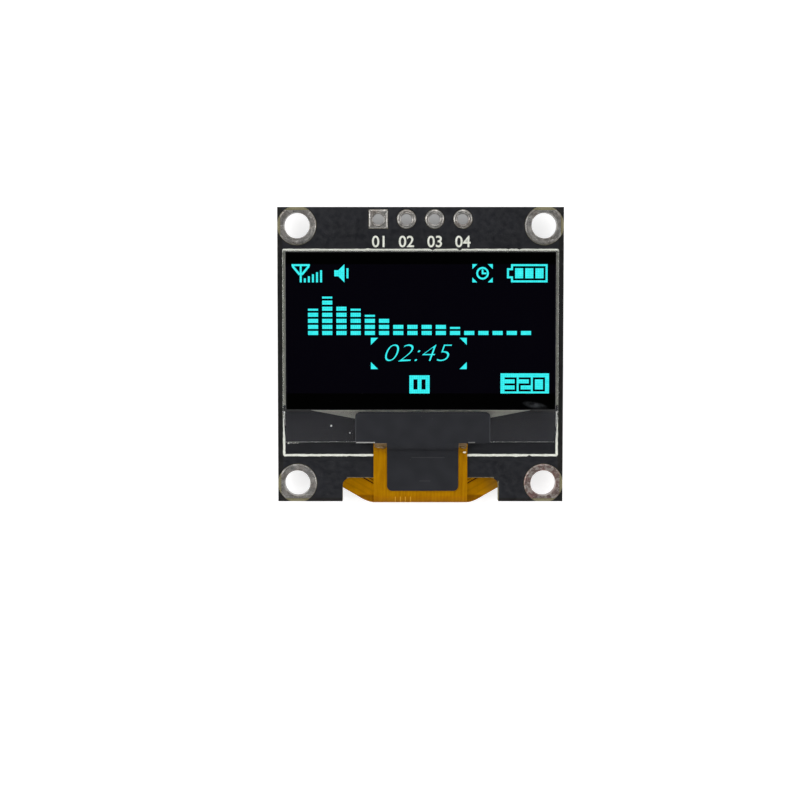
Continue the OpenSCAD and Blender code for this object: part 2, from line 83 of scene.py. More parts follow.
def end_edit():
    """Leaves edit mode."""
    bpy.ops.object.mode_set(mode="OBJECT")


def pick(kind, test):
    """Selects the vertices, edges or faces whose middle, in mm, passes a test."""
    bpy.ops.mesh.select_mode(type=kind)
    bpy.ops.mesh.select_all(action="DESELECT")
    mesh = bmesh.from_edit_mesh(bpy.context.edit_object.data)
    parts = {"VERT": mesh.verts, "EDGE": mesh.edges, "FACE": mesh.faces}[kind]
    for part in parts:
        corners = [part] if kind == "VERT" else part.verts
        middle = sum((v.co for v in corners), Vector()) / len(corners) / MM
        if test(part, middle):
            part.select_set(True)
    mesh.select_flush_mode()
    bmesh.update_edit_mesh(bpy.context.edit_object.data)


print("helpers ready for", len(nodes), "solid nodes")


# %% Placing
def settle(piece):
    """Applies an object's place, turn and scale to its mesh."""
    only(piece)
    bpy.ops.object.transform_apply(location=True, rotation=True, scale=True)


def block(name, low, high):
    """A cube primitive stretched between two corners."""
    bpy.ops.mesh.primitive_cube_add(size=1, location=(low + high) / 2)
    piece = bpy.context.object
    piece.name = name
    piece.scale = high - low
    settle(piece)
    return piece


def plane(name, middle, width, height, turn=0.0):
    """A flat rectangle round a middle, turned about it."""
    bpy.ops.object.select_all(action="DESELECT")
    bpy.ops.mesh.primitive_plane_add(size=1, location=middle)
    piece = bpy.context.object
    piece.name = name
    piece.scale = (width, height, 1)
    piece.rotation_euler.z = turn
    settle(piece)
    return piece


print("placing helpers ready")


# %% Shaping
def extrude(x, y, z):
    """Extrudes what is selected, by a step in mm."""
    bpy.ops.mesh.extrude_region_move(
        TRANSFORM_OT_translate={"value": (x * MM, y * MM, z * MM)})


def face_outwards(piece):
    """Turns every face of a piece outwards."""
    start_edit(piece)
    bpy.ops.mesh.normals_make_consistent(inside=False)
    end_edit()


def apply_modifier(piece, kind, **settings):
    """Adds a modifier, sets it and applies it."""
    only(piece)
    modifier = piece.modifiers.new(kind.title(), kind)
    for label, value in settings.items():
        setattr(modifier, label, value)
    bpy.ops.object.modifier_apply(modifier=modifier.name)


def soften(piece, width, segments=2):
    """Rounds every sharp edge of a piece by a width in mm."""
    apply_modifier(piece, "BEVEL", width=width * MM, segments=segments,
                   limit_method="ANGLE", angle_limit=math.radians(35))


print("shaping helpers ready")


# %% Copying and finishing
def duplicate(piece, name):
    """Copies a piece with its own mesh."""
    only(piece)
    bpy.ops.object.duplicate(linked=False)
    bpy.context.object.name = name
    return bpy.context.object


def finish_piece(piece, paints, stands_for=(), smooth=35):
    """Gives a piece its finish, smooths its soft edges and rides it on the board."""
    only(piece)
    bpy.ops.object.shade_smooth_by_angle(angle=math.radians(smooth))
    piece.data.name = piece.name
    while len(piece.data.materials) < len(paints):
        piece.data.materials.append(None)
    for place, paint in enumerate(paints):
        piece.data.materials[place] = paint
    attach(piece, "root")
    if stands_for:
        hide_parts(*stands_for)
    print(f"{piece.name}: {len(piece.data.polygons)} faces")


print("copying and finishing helpers ready")

# %% [markdown]
# ## Camera, floor and light
# The module lies on its back on a pale table, and the camera looks almost
# straight down on it. The display is black and glossy, so whatever hangs
# right above would be mirrored in it: the lamps stand at the sides, and the
# sky is dark overhead. The floor is white to the camera and still takes the
# module's soft shadow. Only the narrow header holes look down into deep shade,
# so the floor glows less below them.

# %% Camera
eye = Vector((-1.85, 4.81, 152.35)) * MM
aim = Vector((-1.85, -4.09, 2.35)) * MM
bpy.ops.object.camera_add(location=eye)
camera = bpy.context.object
camera.name = "camera"
camera.rotation_euler.x = -math.atan((eye.y - aim.y) / (eye.z - aim.z))
camera.data.sensor_width = 36
camera.data.lens = 74.7
camera.data.clip_start = 0.01
camera.data.clip_end = 5
bpy.context.scene.camera = camera
bpy.context.scene.view_settings.view_transform = "Standard"
print("camera %.0f mm from the board" % ((eye - aim).length / MM))


# %% Nodes
def add(tree, kind, sockets=None, **options):
    """Adds a node, sets its options, and fills or joins its inputs."""
    node = tree.nodes.new("ShaderNode" + kind)
    for label, value in options.items():
        setattr(node, label, value)
    for label, value in (sockets or {}).items():
        if isinstance(value, bpy.types.NodeSocket):
            tree.links.new(value, node.inputs[label])
        else:
            node.inputs[label].default_value = value
    return node


def colour(red, green, blue):
    """The linear colour of a screen colour given from 0 to 255."""
    parts = [v / 255 for v in (red, green, blue)]
    return tuple(
        v / 12.92 if v <= 0.04045 else ((v + 0.055) / 1.055) ** 2.4 for v in parts
    ) + (1.0,)


print("mid grey 128 is", round(colour(128, 128, 128)[0], 3), "in linear light")


# %% Sums on values
def maths(tree, operation, first, second=0.0, third=0.5):
    """One Math node, as its output. COMPARE reads its third value as the reach."""
    return add(tree, "Math", {0: first, 1: second, 2: third},
               operation=operation).outputs[0]


def times(tree, *values):
    """The product of several values."""
    product = values[0]
    for value in values[1:]:
        product = maths(tree, "MULTIPLY", product, value)
    return product


def remap(tree, value, low, high, new_low, new_high):
    """A value carried over from one range to another, and kept within it."""
    return add(tree, "MapRange", {"Value": value, "From Min": low, "From Max": high,
                                  "To Min": new_low, "To Max": new_high}).outputs[0]


def x_and_y(tree, place):
    """The X and the Y of a place."""
    split = add(tree, "SeparateXYZ", {0: place})
    return split.outputs["X"], split.outputs["Y"]


print("sums ready")

# %% Floor
bpy.ops.mesh.primitive_plane_add(size=4, location=(0, 0, -0.00002))
floor = bpy.context.object
floor.name = "floor"
floor_paint = bpy.data.materials.new("floor_paint")
floor_paint.use_nodes = True
tree = floor_paint.node_tree
shader = tree.nodes["Principled BSDF"]
shader.inputs["Base Color"].default_value = colour(190, 190, 190)
shader.inputs["Roughness"].default_value = 0.9
path = add(tree, "LightPath").outputs
seen = maths(tree, "MAXIMUM", path["Is Camera Ray"], path["Is Glossy Ray"])
seen = maths(tree, "MAXIMUM", seen, path["Is Transmission Ray"])
x, y = x_and_y(tree, add(tree, "TexCoord").outputs["Object"])
below_header = times(tree, maths(tree, "COMPARE", x, 0.0, 5.3 * MM),
                     maths(tree, "COMPARE", y, 12.2 * MM, 1.0 * MM))
glow = times(tree, seen, remap(tree, below_header, 0.0, 1.0, 0.72, 0.15))
shader.inputs["Emission Color"].default_value = (1, 1, 1, 1)
tree.links.new(glow, shader.inputs["Emission Strength"])
clear = add(tree, "BsdfTransparent")
side = add(tree, "NewGeometry")
mixed = add(tree, "MixShader", {0: side.outputs["Backfacing"],
                                1: shader.outputs[0], 2: clear.outputs[0]})
tree.links.new(mixed.outputs[0], tree.nodes["Material Output"].inputs["Surface"])
floor.data.materials.append(floor_paint)
print("floor laid")

# %% Sky
world = bpy.data.worlds.new("studio")
bpy.context.scene.world = world
world.use_nodes = True
tree = world.node_tree
tree.nodes.clear()
direction = add(tree, "SeparateXYZ", {0: add(tree, "TexCoord").outputs["Generated"]})
level = remap(tree, direction.outputs["Z"], 0.45, 0.93, 0.42, 0.005)
strength = maths(tree, "MAXIMUM", level,
                 add(tree, "LightPath").outputs["Is Camera Ray"])
sky = add(tree, "Background", {"Color": (1, 1, 1, 1), "Strength": strength})
add(tree, "OutputWorld", {"Surface": sky.outputs[0]})
print("sky dark overhead, bright at the sides")


# %% Lamps
def lamp(name, place, watts, width):
    """A square soft lamp aimed at the module."""
    bpy.ops.object.light_add(type="AREA", location=place)
    light = bpy.context.object
    light.name = name
    light.data.energy = watts
    light.data.size = width
    light.rotation_mode = "QUATERNION"
    light.rotation_quaternion = (-Vector(place)).to_track_quat("-Z", "Y")


lamp("lamp_left", (-0.34, 0.06, 0.27), 1.05, 0.22)
lamp("lamp_right", (0.34, 0.02, 0.27), 0.75, 0.22)
lamp("lamp_far", (0.02, 0.36, 0.26), 0.8, 0.24)
lamp("lamp_near", (-0.03, -0.36, 0.26), 0.58, 0.24)
print("four soft lamps, all at the sides")

# %% [markdown]
# ## Shared effects
# Real surfaces are never one colour. Grain, patches, scratches, specks of
# dust and rows of fine lines turn up on many of them, so each effect is a
# node group with named inputs, built once and then placed in a material with
# its own values. The groups hand out masks and values only. The shader stays
# in the material.


# %% Node groups
def new_group(name, inputs, outputs):
    """A shader node group with float inputs after its Vector, and float outputs."""
    tree = bpy.data.node_groups.new(name, "ShaderNodeTree")
    tree.interface.new_socket("Vector", in_out="INPUT", socket_type="NodeSocketVector")
    for label, value in inputs.items():
        socket = tree.interface.new_socket(label, in_out="INPUT",
                                           socket_type="NodeSocketFloat")
        socket.default_value = value
    for label in outputs:
        tree.interface.new_socket(label, in_out="OUTPUT", socket_type="NodeSocketFloat")
    start = tree.nodes.new("NodeGroupInput")
    end = tree.nodes.new("NodeGroupOutput")
    return tree, start.outputs, end.inputs


print("group helpers ready")

# %% Grain: soft noise between two values
grain, given, out = new_group(
    "Grain", {"Scale": 5.0, "Detail": 3.0, "Low": 0.0, "High": 1.0}, ["Value"])
noise = add(grain, "TexNoise", {"Vector": given["Vector"], "Scale": given["Scale"],
                                "Detail": given["Detail"]})
spread = remap(grain, noise.outputs[0], 0.3, 0.7, given["Low"], given["High"])
grain.links.new(spread, out["Value"])
print("Grain built")

# %% Scratches: fine hair lines in two directions, broken up by noise
scratches, given, out = new_group("Scratches", {"Scale": 1.0, "Width": 0.02}, ["Mask"])
lines = []
for turn in (0.5, 2.2):
    turned_place = add(scratches, "Mapping", {"Vector": given["Vector"],
                                              "Rotation": (0, 0, turn),
                                              "Scale": (0.25, 3.0, 1.0)})
    noise = add(scratches, "TexNoise", {"Vector": turned_place.outputs[0],
                                        "Scale": given["Scale"], "Detail": 1.5})
    ridge = maths(scratches, "ABSOLUTE",
                  maths(scratches, "SUBTRACT", noise.outputs[0], 0.5))
    lines.append(maths(scratches, "LESS_THAN", ridge, given["Width"]))
both = maths(scratches, "MAXIMUM", lines[0], lines[1])
gaps = add(scratches, "TexNoise", {"Vector": given["Vector"], "Scale": 1.7})
kept = maths(scratches, "GREATER_THAN", gaps.outputs[0], 0.54)
scratches.links.new(times(scratches, both, kept), out["Mask"])
print("Scratches built")

# %% Specks: scattered dust
specks, given, out = new_group(
    "Specks", {"Scale": 2.0, "Size": 0.1, "Share": 0.3}, ["Mask"])
cells = add(specks, "TexVoronoi", {"Vector": given["Vector"], "Scale": given["Scale"]})
near = maths(specks, "LESS_THAN", cells.outputs["Distance"], given["Size"])
chance = add(specks, "SeparateXYZ", {0: cells.outputs["Color"]}).outputs["X"]
chosen = maths(specks, "LESS_THAN", chance, given["Share"])
specks.links.new(times(specks, near, chosen), out["Mask"])
print("Specks built")

# %% Lines: a row of stripes across the X of what it is given
stripes, given, out = new_group("Lines", {"Count": 1.0, "Share": 0.5}, ["Mask"])
across = add(stripes, "SeparateXYZ", {0: given["Vector"]}).outputs["X"]
wave = maths(stripes, "PINGPONG", times(stripes, across, given["Count"]), 0.5)
wave = times(stripes, wave, 2.0)
low = maths(stripes, "SUBTRACT", given["Share"], 0.12)
high = maths(stripes, "ADD", given["Share"], 0.12)
stripes.links.new(remap(stripes, wave, low, high, 1.0, 0.0), out["Mask"])
print("Lines built")

# %% [markdown]
# ## The dot matrix
# The picture is 128 dots across and 64 down. Its place comes from the dark
# film that covers it, less a border that is 0.51 mm wide at the sides,
# 1.12 mm above and 1.5 mm below. It sits a trifle to the right of the middle.

# %% Size of one dot
film_low, film_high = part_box("polarizer_film")
COLUMNS, ROWS = 128, 64
border = 0.51 * MM
border_above, border_below = 1.12 * MM, 1.5 * MM
picture_shift = 0.08 * MM
picture_left = film_low.x + border + picture_shift
picture_top = film_high.y - border_above
dot_w = (film_high.x - film_low.x - 2 * border) / COLUMNS
dot_h = (film_high.y - film_low.y - border_above - border_below) / ROWS
print("one dot is %.3f x %.3f mm" % (dot_w / MM, dot_h / MM))

# %% Dots: a mask that is one inside each dot
dots, given, out = new_group("Dots", {"Fill": 0.84}, ["Mask"])
counted = add(dots, "Mapping", {"Vector": given["Vector"],
                                "Location": (picture_left / MM, picture_top / MM, 0),
                                "Scale": (dot_w / MM, dot_h / MM, 1)},
              vector_type="TEXTURE")
split = add(dots, "SeparateXYZ", {0: counted.outputs[0]})
edges = []
for axis in "XY":
    inside = maths(dots, "PINGPONG", split.outputs[axis], 0.5)
    edges.append(maths(dots, "GREATER_THAN", times(dots, inside, 2.0),
                       maths(dots, "SUBTRACT", 1.0, given["Fill"])))
dots.links.new(times(dots, edges[0], edges[1]), out["Mask"])
print("Dots built")

# %% [markdown]
# ## Paints
# A paint is one material for one finish of the module. Its patterns run on
# the object's own coordinates, turned into millimetres, so that a scale of 5
# means about five grains to the millimetre.


# %% Starting a paint
def new_paint(name, roughness, metallic=0.0):
    """A material, its shader and the surface's place in mm."""
    material = bpy.data.materials.new(name)
    material.use_nodes = True
    tree = material.node_tree
    shader = tree.nodes["Principled BSDF"]
    shader.inputs["Roughness"].default_value = roughness
    shader.inputs["Metallic"].default_value = metallic
    place = add(tree, "Mapping", {"Vector": add(tree, "TexCoord").outputs["Object"],
                                  "Scale": (1000, 1000, 1000)})
    return material, tree, shader, place.outputs[0]


def effect(tree, group, vector, **values):
    """Places a node group and returns its first output."""
    node = tree.nodes.new("ShaderNodeGroup")
    node.node_tree = group
    tree.links.new(vector, node.inputs["Vector"])
    for label, value in values.items():
        node.inputs[label].default_value = value
    return node.outputs[0]


def blend(tree, mask, first, second):
    """Mixes two colours by a mask."""
    return add(tree, "Mix", {0: mask, 6: first, 7: second}, data_type="RGBA").outputs[2]


def mottle(tree, mask, dark, light):
    """Two colours, given from 0 to 255, mixed by a mask."""
    return blend(tree, mask, colour(*dark), colour(*light))


def touch(tree, base, mask, tint, share=1.0):
    """Lays a tint over a base where a mask says, at a share of its strength."""
    return blend(tree, times(tree, mask, share), base, colour(*tint))


def feed(tree, shader, label, value):
    """Joins a value to one of the shader's inputs."""
    tree.links.new(value, shader.inputs[label])


def bump(tree, shader, height, depth):
    """Turns a height mask into relief that is depth mm deep."""
    node = add(tree, "Bump", {"Height": height, "Strength": 1.0, "Distance": depth * MM})
    tree.links.new(node.outputs[0], shader.inputs["Normal"])


def uneven_shine(tree, shader, place, scale, low, high, detail=3.0):
    """A roughness that wanders between two values."""
    feed(tree, shader, "Roughness",
         effect(tree, grain, place, Scale=scale, Detail=detail, Low=low, High=high))


print("paint helpers ready")


# %% A mottled paint, and painting solid nodes
def mottled_paint(name, roughness, scale, detail, dark, light, depth=0.0):
    """A paint of two mottled colours, raised by depth mm where it is light."""
    paint, tree, shader, place = new_paint(name, roughness)
    cloud = effect(tree, grain, place, Scale=scale, Detail=detail)
    feed(tree, shader, "Base Color", mottle(tree, cloud, dark, light))
    if depth:
        bump(tree, shader, cloud, depth)
    return paint


def dress(paint, *names):
    """Gives solid nodes their paint."""
    for name in names:
        nodes[name].material_slots[0].material = paint
    print(", ".join(names), "dressed")


print("mottled paint ready")

# %% [markdown]
# ### Board and its lacquer
# The board is woven glass in resin, olive brown where its cut edge shows.
# The lacquer over it is black, slightly uneven like orange peel, and shows
# the edge of the copper under it as a faint step. A little dust lies on it,
# and it has flaked along the milled edges of the notch.

# %% Laminate paint
board_low, board_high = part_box("circuit_board")
laminate_paint, tree, shader, place = new_paint("laminate_paint", 0.7)
upright = add(tree, "Mapping", {"Vector": place, "Rotation": (0, math.pi / 2, 0)})
layer = effect(tree, stripes, upright.outputs[0], Count=7.0, Share=0.5)
weave = effect(tree, grain, place, Scale=9.0, Detail=2.0)
base = mottle(tree, layer, (112, 107, 80), (92, 87, 62))
base = touch(tree, base, weave, (142, 136, 104), 0.6)
feed(tree, shader, "Base Color", base)
bump(tree, shader, weave, 0.01)
dress(laminate_paint, "circuit_board")

# %% Lacquer paint
lacquer_paint, tree, shader, place = new_paint("lacquer_paint", 0.42)
tone = effect(tree, grain, place, Scale=0.5, Detail=4.0)
dust = effect(tree, specks, place, Scale=2.6, Size=0.045, Share=0.3)
base = mottle(tree, tone, (20, 21, 25), (26, 27, 32))
base = touch(tree, base, dust, (96, 96, 94), 0.5)
x, y = x_and_y(tree, place)
out_x = maths(tree, "ABSOLUTE", x)
notch_top, notch_side = board_low.y / MM + 2.15, 7.075
rim_side, rim_low = board_high.x / MM - 0.46, board_low.y / MM + 0.3
copper_low = -9.6
top_edge = times(tree, maths(tree, "LESS_THAN", out_x, notch_side - 0.4),
                 maths(tree, "LESS_THAN", y, notch_top + 0.05))
side_edge = times(tree, maths(tree, "COMPARE", x, notch_side, 0.045),
                  maths(tree, "LESS_THAN", y, notch_top - 0.3))
worn = effect(tree, grain, place, Scale=2.6, Detail=3.0, Low=0.1, High=1.0)
milled = times(tree, maths(tree, "MAXIMUM", top_edge, side_edge), worn)
rim = maths(tree, "MAXIMUM", maths(tree, "GREATER_THAN", out_x, rim_side),
            maths(tree, "LESS_THAN", y, rim_low))
base = touch(tree, base, rim, (9, 7, 3), 0.8)
base = touch(tree, base, milled, (136, 126, 94))
feed(tree, shader, "Base Color", base)
uneven_shine(tree, shader, place, 2.2, 0.34, 0.5)
copper = maths(tree, "GREATER_THAN", y, copper_low)
peel = effect(tree, grain, place, Scale=4.0, Detail=2.0, Low=0.0, High=0.18)
bump(tree, shader, maths(tree, "ADD", copper, peel), 0.018)
dress(lacquer_paint, "front_mask", "back_mask")

# %% [markdown]
# ### Tin, solder and leads
# The rings and pads are dipped in solder: dull grey, lightly scratched, with
# warmer patches where the tin is thin. One ring is worn down towards its
# copper. The joints are the same metal with a brighter skin, and the leads of
# the parts are plated evenly.


# %% Tin, solder and lead paints
def metal_paint(name, dark, light, warm, shine, wear, pale=0.0):
    """A dull plated metal with patches, grain, scratches and pale blotches."""
    paint, tree, shader, place = new_paint(name, shine, metallic=0.7)
    patch = effect(tree, grain, place, Scale=0.9, Detail=4.0, Low=-0.6, High=1.0)
    fine = effect(tree, grain, place, Scale=14.0, Detail=3.0)
    scratch = effect(tree, scratches, place, Scale=2.6, Width=0.012)
    base = mottle(tree, fine, dark, light)
    base = touch(tree, base, patch, warm, 0.7)
    blotch = effect(tree, grain, place, Scale=2.4, Detail=5.0, Low=-3.4, High=3.4)
    blotch = add(tree, "Clamp", {"Value": blotch}).outputs[0]
    base = touch(tree, base, blotch, (206, 200, 192), pale)
    base = touch(tree, base, scratch, (205, 203, 198), wear)
    feed(tree, shader, "Base Color", base)
    uneven_shine(tree, shader, place, 6.0, shine - 0.1, shine + 0.14)
    bump(tree, shader, effect(tree, grain, place, Scale=5.0, Detail=4.0), 0.012)
    return paint


tin_paint = metal_paint("tin_paint", (112, 111, 109), (156, 154, 151),
                        (122, 112, 104), 0.36, 0.8, 0.22)
worn_tin_paint = metal_paint("worn_tin_paint", (96, 82, 78), (150, 132, 126),
                             (148, 106, 100), 0.36, 0.9, 0.4)
solder_paint = metal_paint("solder_paint", (150, 150, 148), (190, 190, 187),
                           (158, 152, 142), 0.3, 0.2)
lead_paint = metal_paint("lead_paint", (158, 157, 153), (186, 185, 181),
                         (170, 164, 152), 0.34, 0.4)
dress(solder_paint, "chip_solder")
dress(lead_paint, "regulator_leads", "diode_leads")

# %% Ink paint
ink_paint, tree, shader, place = new_paint("ink_paint", 0.6)
blot = effect(tree, grain, place, Scale=3.5, Detail=4.0)
pit = effect(tree, specks, place, Scale=7.0, Size=0.16, Share=0.16)
base = mottle(tree, blot, (214, 216, 204), (236, 238, 228))
base = touch(tree, base, pit, (120, 120, 114), 0.6)
feed(tree, shader, "Base Color", base)
bump(tree, shader, effect(tree, grain, place, Scale=16.0, Detail=2.0), 0.006)
dress(ink_paint, "back_print")

# %% [markdown]
# ### Glass, seal, film and light
# Both sheets are clear glass with ground edges. Between them runs a grey
# green seal, and below it a field of hair-thin traces. The film on top is
# almost black and glossy. The lit dots are the only part that gives light.

# %% Glass paint, and the paint of its ground edge
glass_paint, tree, shader, place = new_paint("glass_paint", 0.02)
shader.inputs["Transmission Weight"].default_value = 0.988
shader.inputs["IOR"].default_value = 1.5
tint = effect(tree, grain, place, Scale=0.3, Detail=2.0)
feed(tree, shader, "Base Color", mottle(tree, tint, (246, 246, 252), (251, 251, 254)))
uneven_shine(tree, shader, place, 0.8, 0.01, 0.06, detail=5.0)

ground_paint = mottled_paint("ground_paint", 0.55, 6.0, 4.0,
                             (150, 156, 146), (196, 200, 190), 0.02)
shader = ground_paint.node_tree.nodes["Principled BSDF"]
shader.inputs["Transmission Weight"].default_value = 0.45
print("glass mixed")


# %% Where the field of traces ends
field_half, field_slope, field_low = 9.87, 0.19, -4.96


def below_field(tree, place):
    """One below the lower edge of the traces, which slopes up to its ends."""
    x, y = x_and_y(tree, place)
    inward = maths(tree, "SUBTRACT", field_half, maths(tree, "ABSOLUTE", x))
    raised = maths(tree, "ADD", y, times(tree, inward, field_slope))
    return maths(tree, "LESS_THAN", raised, field_low)


print("the traces end %.2f mm lower in the middle" % (field_half * field_slope))

# %% Adhesive and seal paints
adhesive_paint = mottled_paint("adhesive_paint", 0.8, 12.0, 3.0,
                               (196, 194, 186), (222, 220, 212), 0.02)
dress(adhesive_paint, "adhesive_pad")

seal_paint, tree, shader, place = new_paint("seal_paint", 0.6)
bead = effect(tree, grain, place, Scale=5.0, Detail=4.0)
base = mottle(tree, bead, (196, 196, 180), (226, 226, 208))
base = touch(tree, base, below_field(tree, place), (46, 47, 48))
feed(tree, shader, "Base Color", base)
bump(tree, shader, bead, 0.01)
dress(seal_paint, "seal_frame")

# %% Trace paint: hair lines that close in towards the chip
fan_low, fan_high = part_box("trace_fan")
trace_paint, tree, shader, place = new_paint("trace_paint", 0.45)
x, y = x_and_y(tree, place)
narrowing = remap(tree, y, fan_low.y / MM, fan_high.y / MM, 0.47, 1.0)
spread = maths(tree, "DIVIDE", x, narrowing)
line_place = add(tree, "CombineXYZ", {"X": spread})
line = effect(tree, stripes, line_place.outputs[0], Count=11.0, Share=0.55)
base = mottle(tree, line, (124, 125, 114), (202, 202, 188))
base = touch(tree, base, below_field(tree, place), (40, 41, 43))
feed(tree, shader, "Base Color", base)
feed(tree, shader, "Metallic", times(tree, line, 0.4))
dress(trace_paint, "trace_fan")

# %% Film paint
film_paint, tree, shader, place = new_paint("film_paint", 0.09)
x, y = x_and_y(tree, place)
unlit = effect(tree, dots, place, Fill=0.8)
picture_low = picture_top - ROWS * dot_h
area = times(tree, maths(tree, "GREATER_THAN", y, picture_low / MM),
             maths(tree, "LESS_THAN", y, picture_top / MM))
base = mottle(tree, area, (1, 1, 1), (3, 2, 6))
base = touch(tree, base, times(tree, unlit, area), (5, 4, 10))
smear_at = (10.3, -4.5, film_high.z / MM)
smear_place = add(tree, "Mapping", {"Vector": place, "Location": smear_at,
                                    "Rotation": (0, 0, -0.2), "Scale": (1.25, 0.34, 1)},
                  vector_type="TEXTURE").outputs[0]
reach = add(tree, "VectorMath", {0: smear_place}, operation="LENGTH").outputs["Value"]
smear = times(tree, remap(tree, reach, 0.3, 1.0, 1.0, 0.0),
              effect(tree, grain, place, Scale=1.8, Detail=4.0))
base = touch(tree, base, smear, (56, 58, 60))
lint = effect(tree, specks, place, Scale=1.1, Size=0.022, Share=0.35)
feed(tree, shader, "Base Color", touch(tree, base, lint, (52, 55, 58)))
uneven_shine(tree, shader, place, 0.35, 0.06, 0.13, detail=6.0)
print("film mixed")

# %% Lit paint
lit_paint, tree, shader, place = new_paint("lit_paint", 0.4)
shader.inputs["Emission Strength"].default_value = 1.08
uneven = effect(tree, grain, place, Scale=2.4, Detail=2.0)
feed(tree, shader, "Emission Color",
     mottle(tree, uneven, (36, 226, 228), (56, 240, 240)))
feed(tree, shader, "Base Color", mottle(tree, uneven, (4, 30, 32), (6, 40, 42)))
print("lit mixed")

# %% [markdown]
# ### Glue and tape
# The tape is dull black plastic. A painted highlight lightens its edges, and thin
# lighter lines are painted across it, the brightest along the foot of its bar where it
# leaves the glass. The glue is brown and glossy.

# %% Glue paint
glue_paint = mottled_paint("glue_paint", 0.2, 3.0, 3.0,
                           (92, 68, 34), (124, 98, 56), 0.03)
dress(glue_paint, "flex_glue")

# %% Tape paint
tape_low, tape_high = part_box("black_tape")
tape_middle = (tape_low.x + tape_high.x) / 2
tape_paint, tree, shader, place = new_paint("tape_paint", 0.7)
shader.inputs["Specular IOR Level"].default_value = 0.15
fibre = effect(tree, grain, place, Scale=18.0, Detail=3.0)
rub = effect(tree, grain, place, Scale=0.8, Detail=5.0)
base = mottle(tree, rub, (31, 32, 36), (38, 39, 43))
x, y = x_and_y(tree, place)
out_x = maths(tree, "ABSOLUTE", maths(tree, "SUBTRACT", x, tape_middle / MM))
# Painted highlight: the tape is lighter along its edges, as if its rounded edges caught
# the light.
highlight_from = (tape_high.x - tape_low.x) / 2 / MM - 0.08
rim = maths(tree, "GREATER_THAN", out_x, highlight_from)
base = touch(tree, base, rim, (86, 87, 90), 0.35)
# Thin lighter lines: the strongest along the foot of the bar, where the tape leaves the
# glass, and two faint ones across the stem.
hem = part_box("front_glass")[0].y / MM - 0.03
for run_at, band_at, reach, width, strength in ((-4.95, hem, 0.85, 0.06, 0.9),
                                                (4.6, hem, 0.3, 0.06, 0.35),
                                                (0.7, -9.3, 1.5, 0.03, 0.07),
                                                (0.4, -11.43, 0.5, 0.03, 0.06)):
    run = maths(tree, "COMPARE", x, run_at, reach)
    band = maths(tree, "COMPARE", y, band_at, width)
    base = touch(tree, base, times(tree, run, band), (150, 150, 148), strength)
lint = effect(tree, specks, place, Scale=2.0, Size=0.035, Share=0.2)
feed(tree, shader, "Base Color", touch(tree, base, lint, (84, 84, 84)))
uneven_shine(tree, shader, place, 1.6, 0.6, 0.8)
bump(tree, shader, fibre, 0.004)
print("tape mixed")

# %% [markdown]
# ### Paints of the small parts
# The leaded parts are black moulded epoxy, the capacitors tan ceramic, and
# the resistors white ceramic with a black face. The driver chip under the
# glass is bare silicon, dark and glossy.


# %% Moulded and ceramic paints
def matt_paint(name, dark, light, roughness, scale, depth):
    """A grainy moulded or fired surface."""
    paint, tree, shader, place = new_paint(name, roughness)
    cloud = effect(tree, grain, place, Scale=scale * 0.2, Detail=4.0)
    fine = effect(tree, grain, place, Scale=scale, Detail=2.0)
    mixed = times(tree, maths(tree, "ADD", cloud, fine), 0.5)
    feed(tree, shader, "Base Color", mottle(tree, mixed, dark, light))
    uneven_shine(tree, shader, place, scale * 0.5, roughness - 0.1, roughness + 0.1)
    bump(tree, shader, fine, depth)
    return paint


epoxy_paint = matt_paint("epoxy_paint", (22, 22, 24), (40, 40, 42), 0.55, 20.0, 0.012)
tan_paint = matt_paint("tan_paint", (150, 118, 84), (184, 152, 114), 0.5, 12.0, 0.006)
white_paint = matt_paint("white_paint", (206, 206, 200), (232, 232, 226),
                         0.55, 12.0, 0.006)
black_paint = matt_paint("black_paint", (16, 16, 17), (30, 30, 31), 0.35, 9.0, 0.006)
silicon_paint = matt_paint("silicon_paint", (40, 43, 50), (58, 62, 70),
                           0.22, 8.0, 0.002)
dress(silicon_paint, "driver_chip")

# %% [markdown]
# ## Rings and pads of tin
# Each mounting hole has a tinned ring on both faces and a tinned barrel
# between them. Solder is drawn up into a low dome with rounded rims, which
# is what catches the light. Such a ring could be a cut cylinder, but a
# profile turned round the hole gives the dome and both rims in one go: a
# circle is added, then extruded and resized from point to point.

# %% Levels of the board
ring_low, ring_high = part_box("mounting_ring_1")
mask_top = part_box("front_mask")[1].z / MM
laminate_top, laminate_bottom = board_high.z / MM, board_low.z / MM
tin_top, tin_bottom = ring_high.z / MM, ring_low.z / MM
mid = (laminate_top + laminate_bottom) / 2
print("laminate from %.2f to %.2f mm" % (laminate_bottom, laminate_top))


# %% Turning a profile
def turned(name, profile, sides):
    """Turns a closed profile of (radius, height) points, in mm, round Z."""
    radius, height = profile[0]
    bpy.ops.object.select_all(action="DESELECT")
    bpy.ops.mesh.primitive_circle_add(vertices=sides, radius=radius * MM,
                                      location=(0, 0, height * MM))
    piece = bpy.context.object
    piece.name = name
    settle(piece)
    start_edit(piece)
    for next_radius, next_height in profile[1:] + profile[:1]:
        extrude(0, 0, next_height - height)
        ratio = next_radius / radius
        bpy.ops.transform.resize(value=(ratio, ratio, 1), center_override=(0, 0, 0))
        radius, height = next_radius, next_height
    bpy.ops.mesh.select_all(action="SELECT")
    bpy.ops.mesh.remove_doubles(threshold=0.0005 * MM)
    bpy.ops.mesh.normals_make_consistent(inside=False)
    end_edit()
    return piece


def both_faces(face):
    """A profile over the front, then the same one over the back."""
    centre = tin_top + tin_bottom
    back = [(radius, centre - height) for radius, height in reversed(face)]
    return face + back


print("turning helper ready")

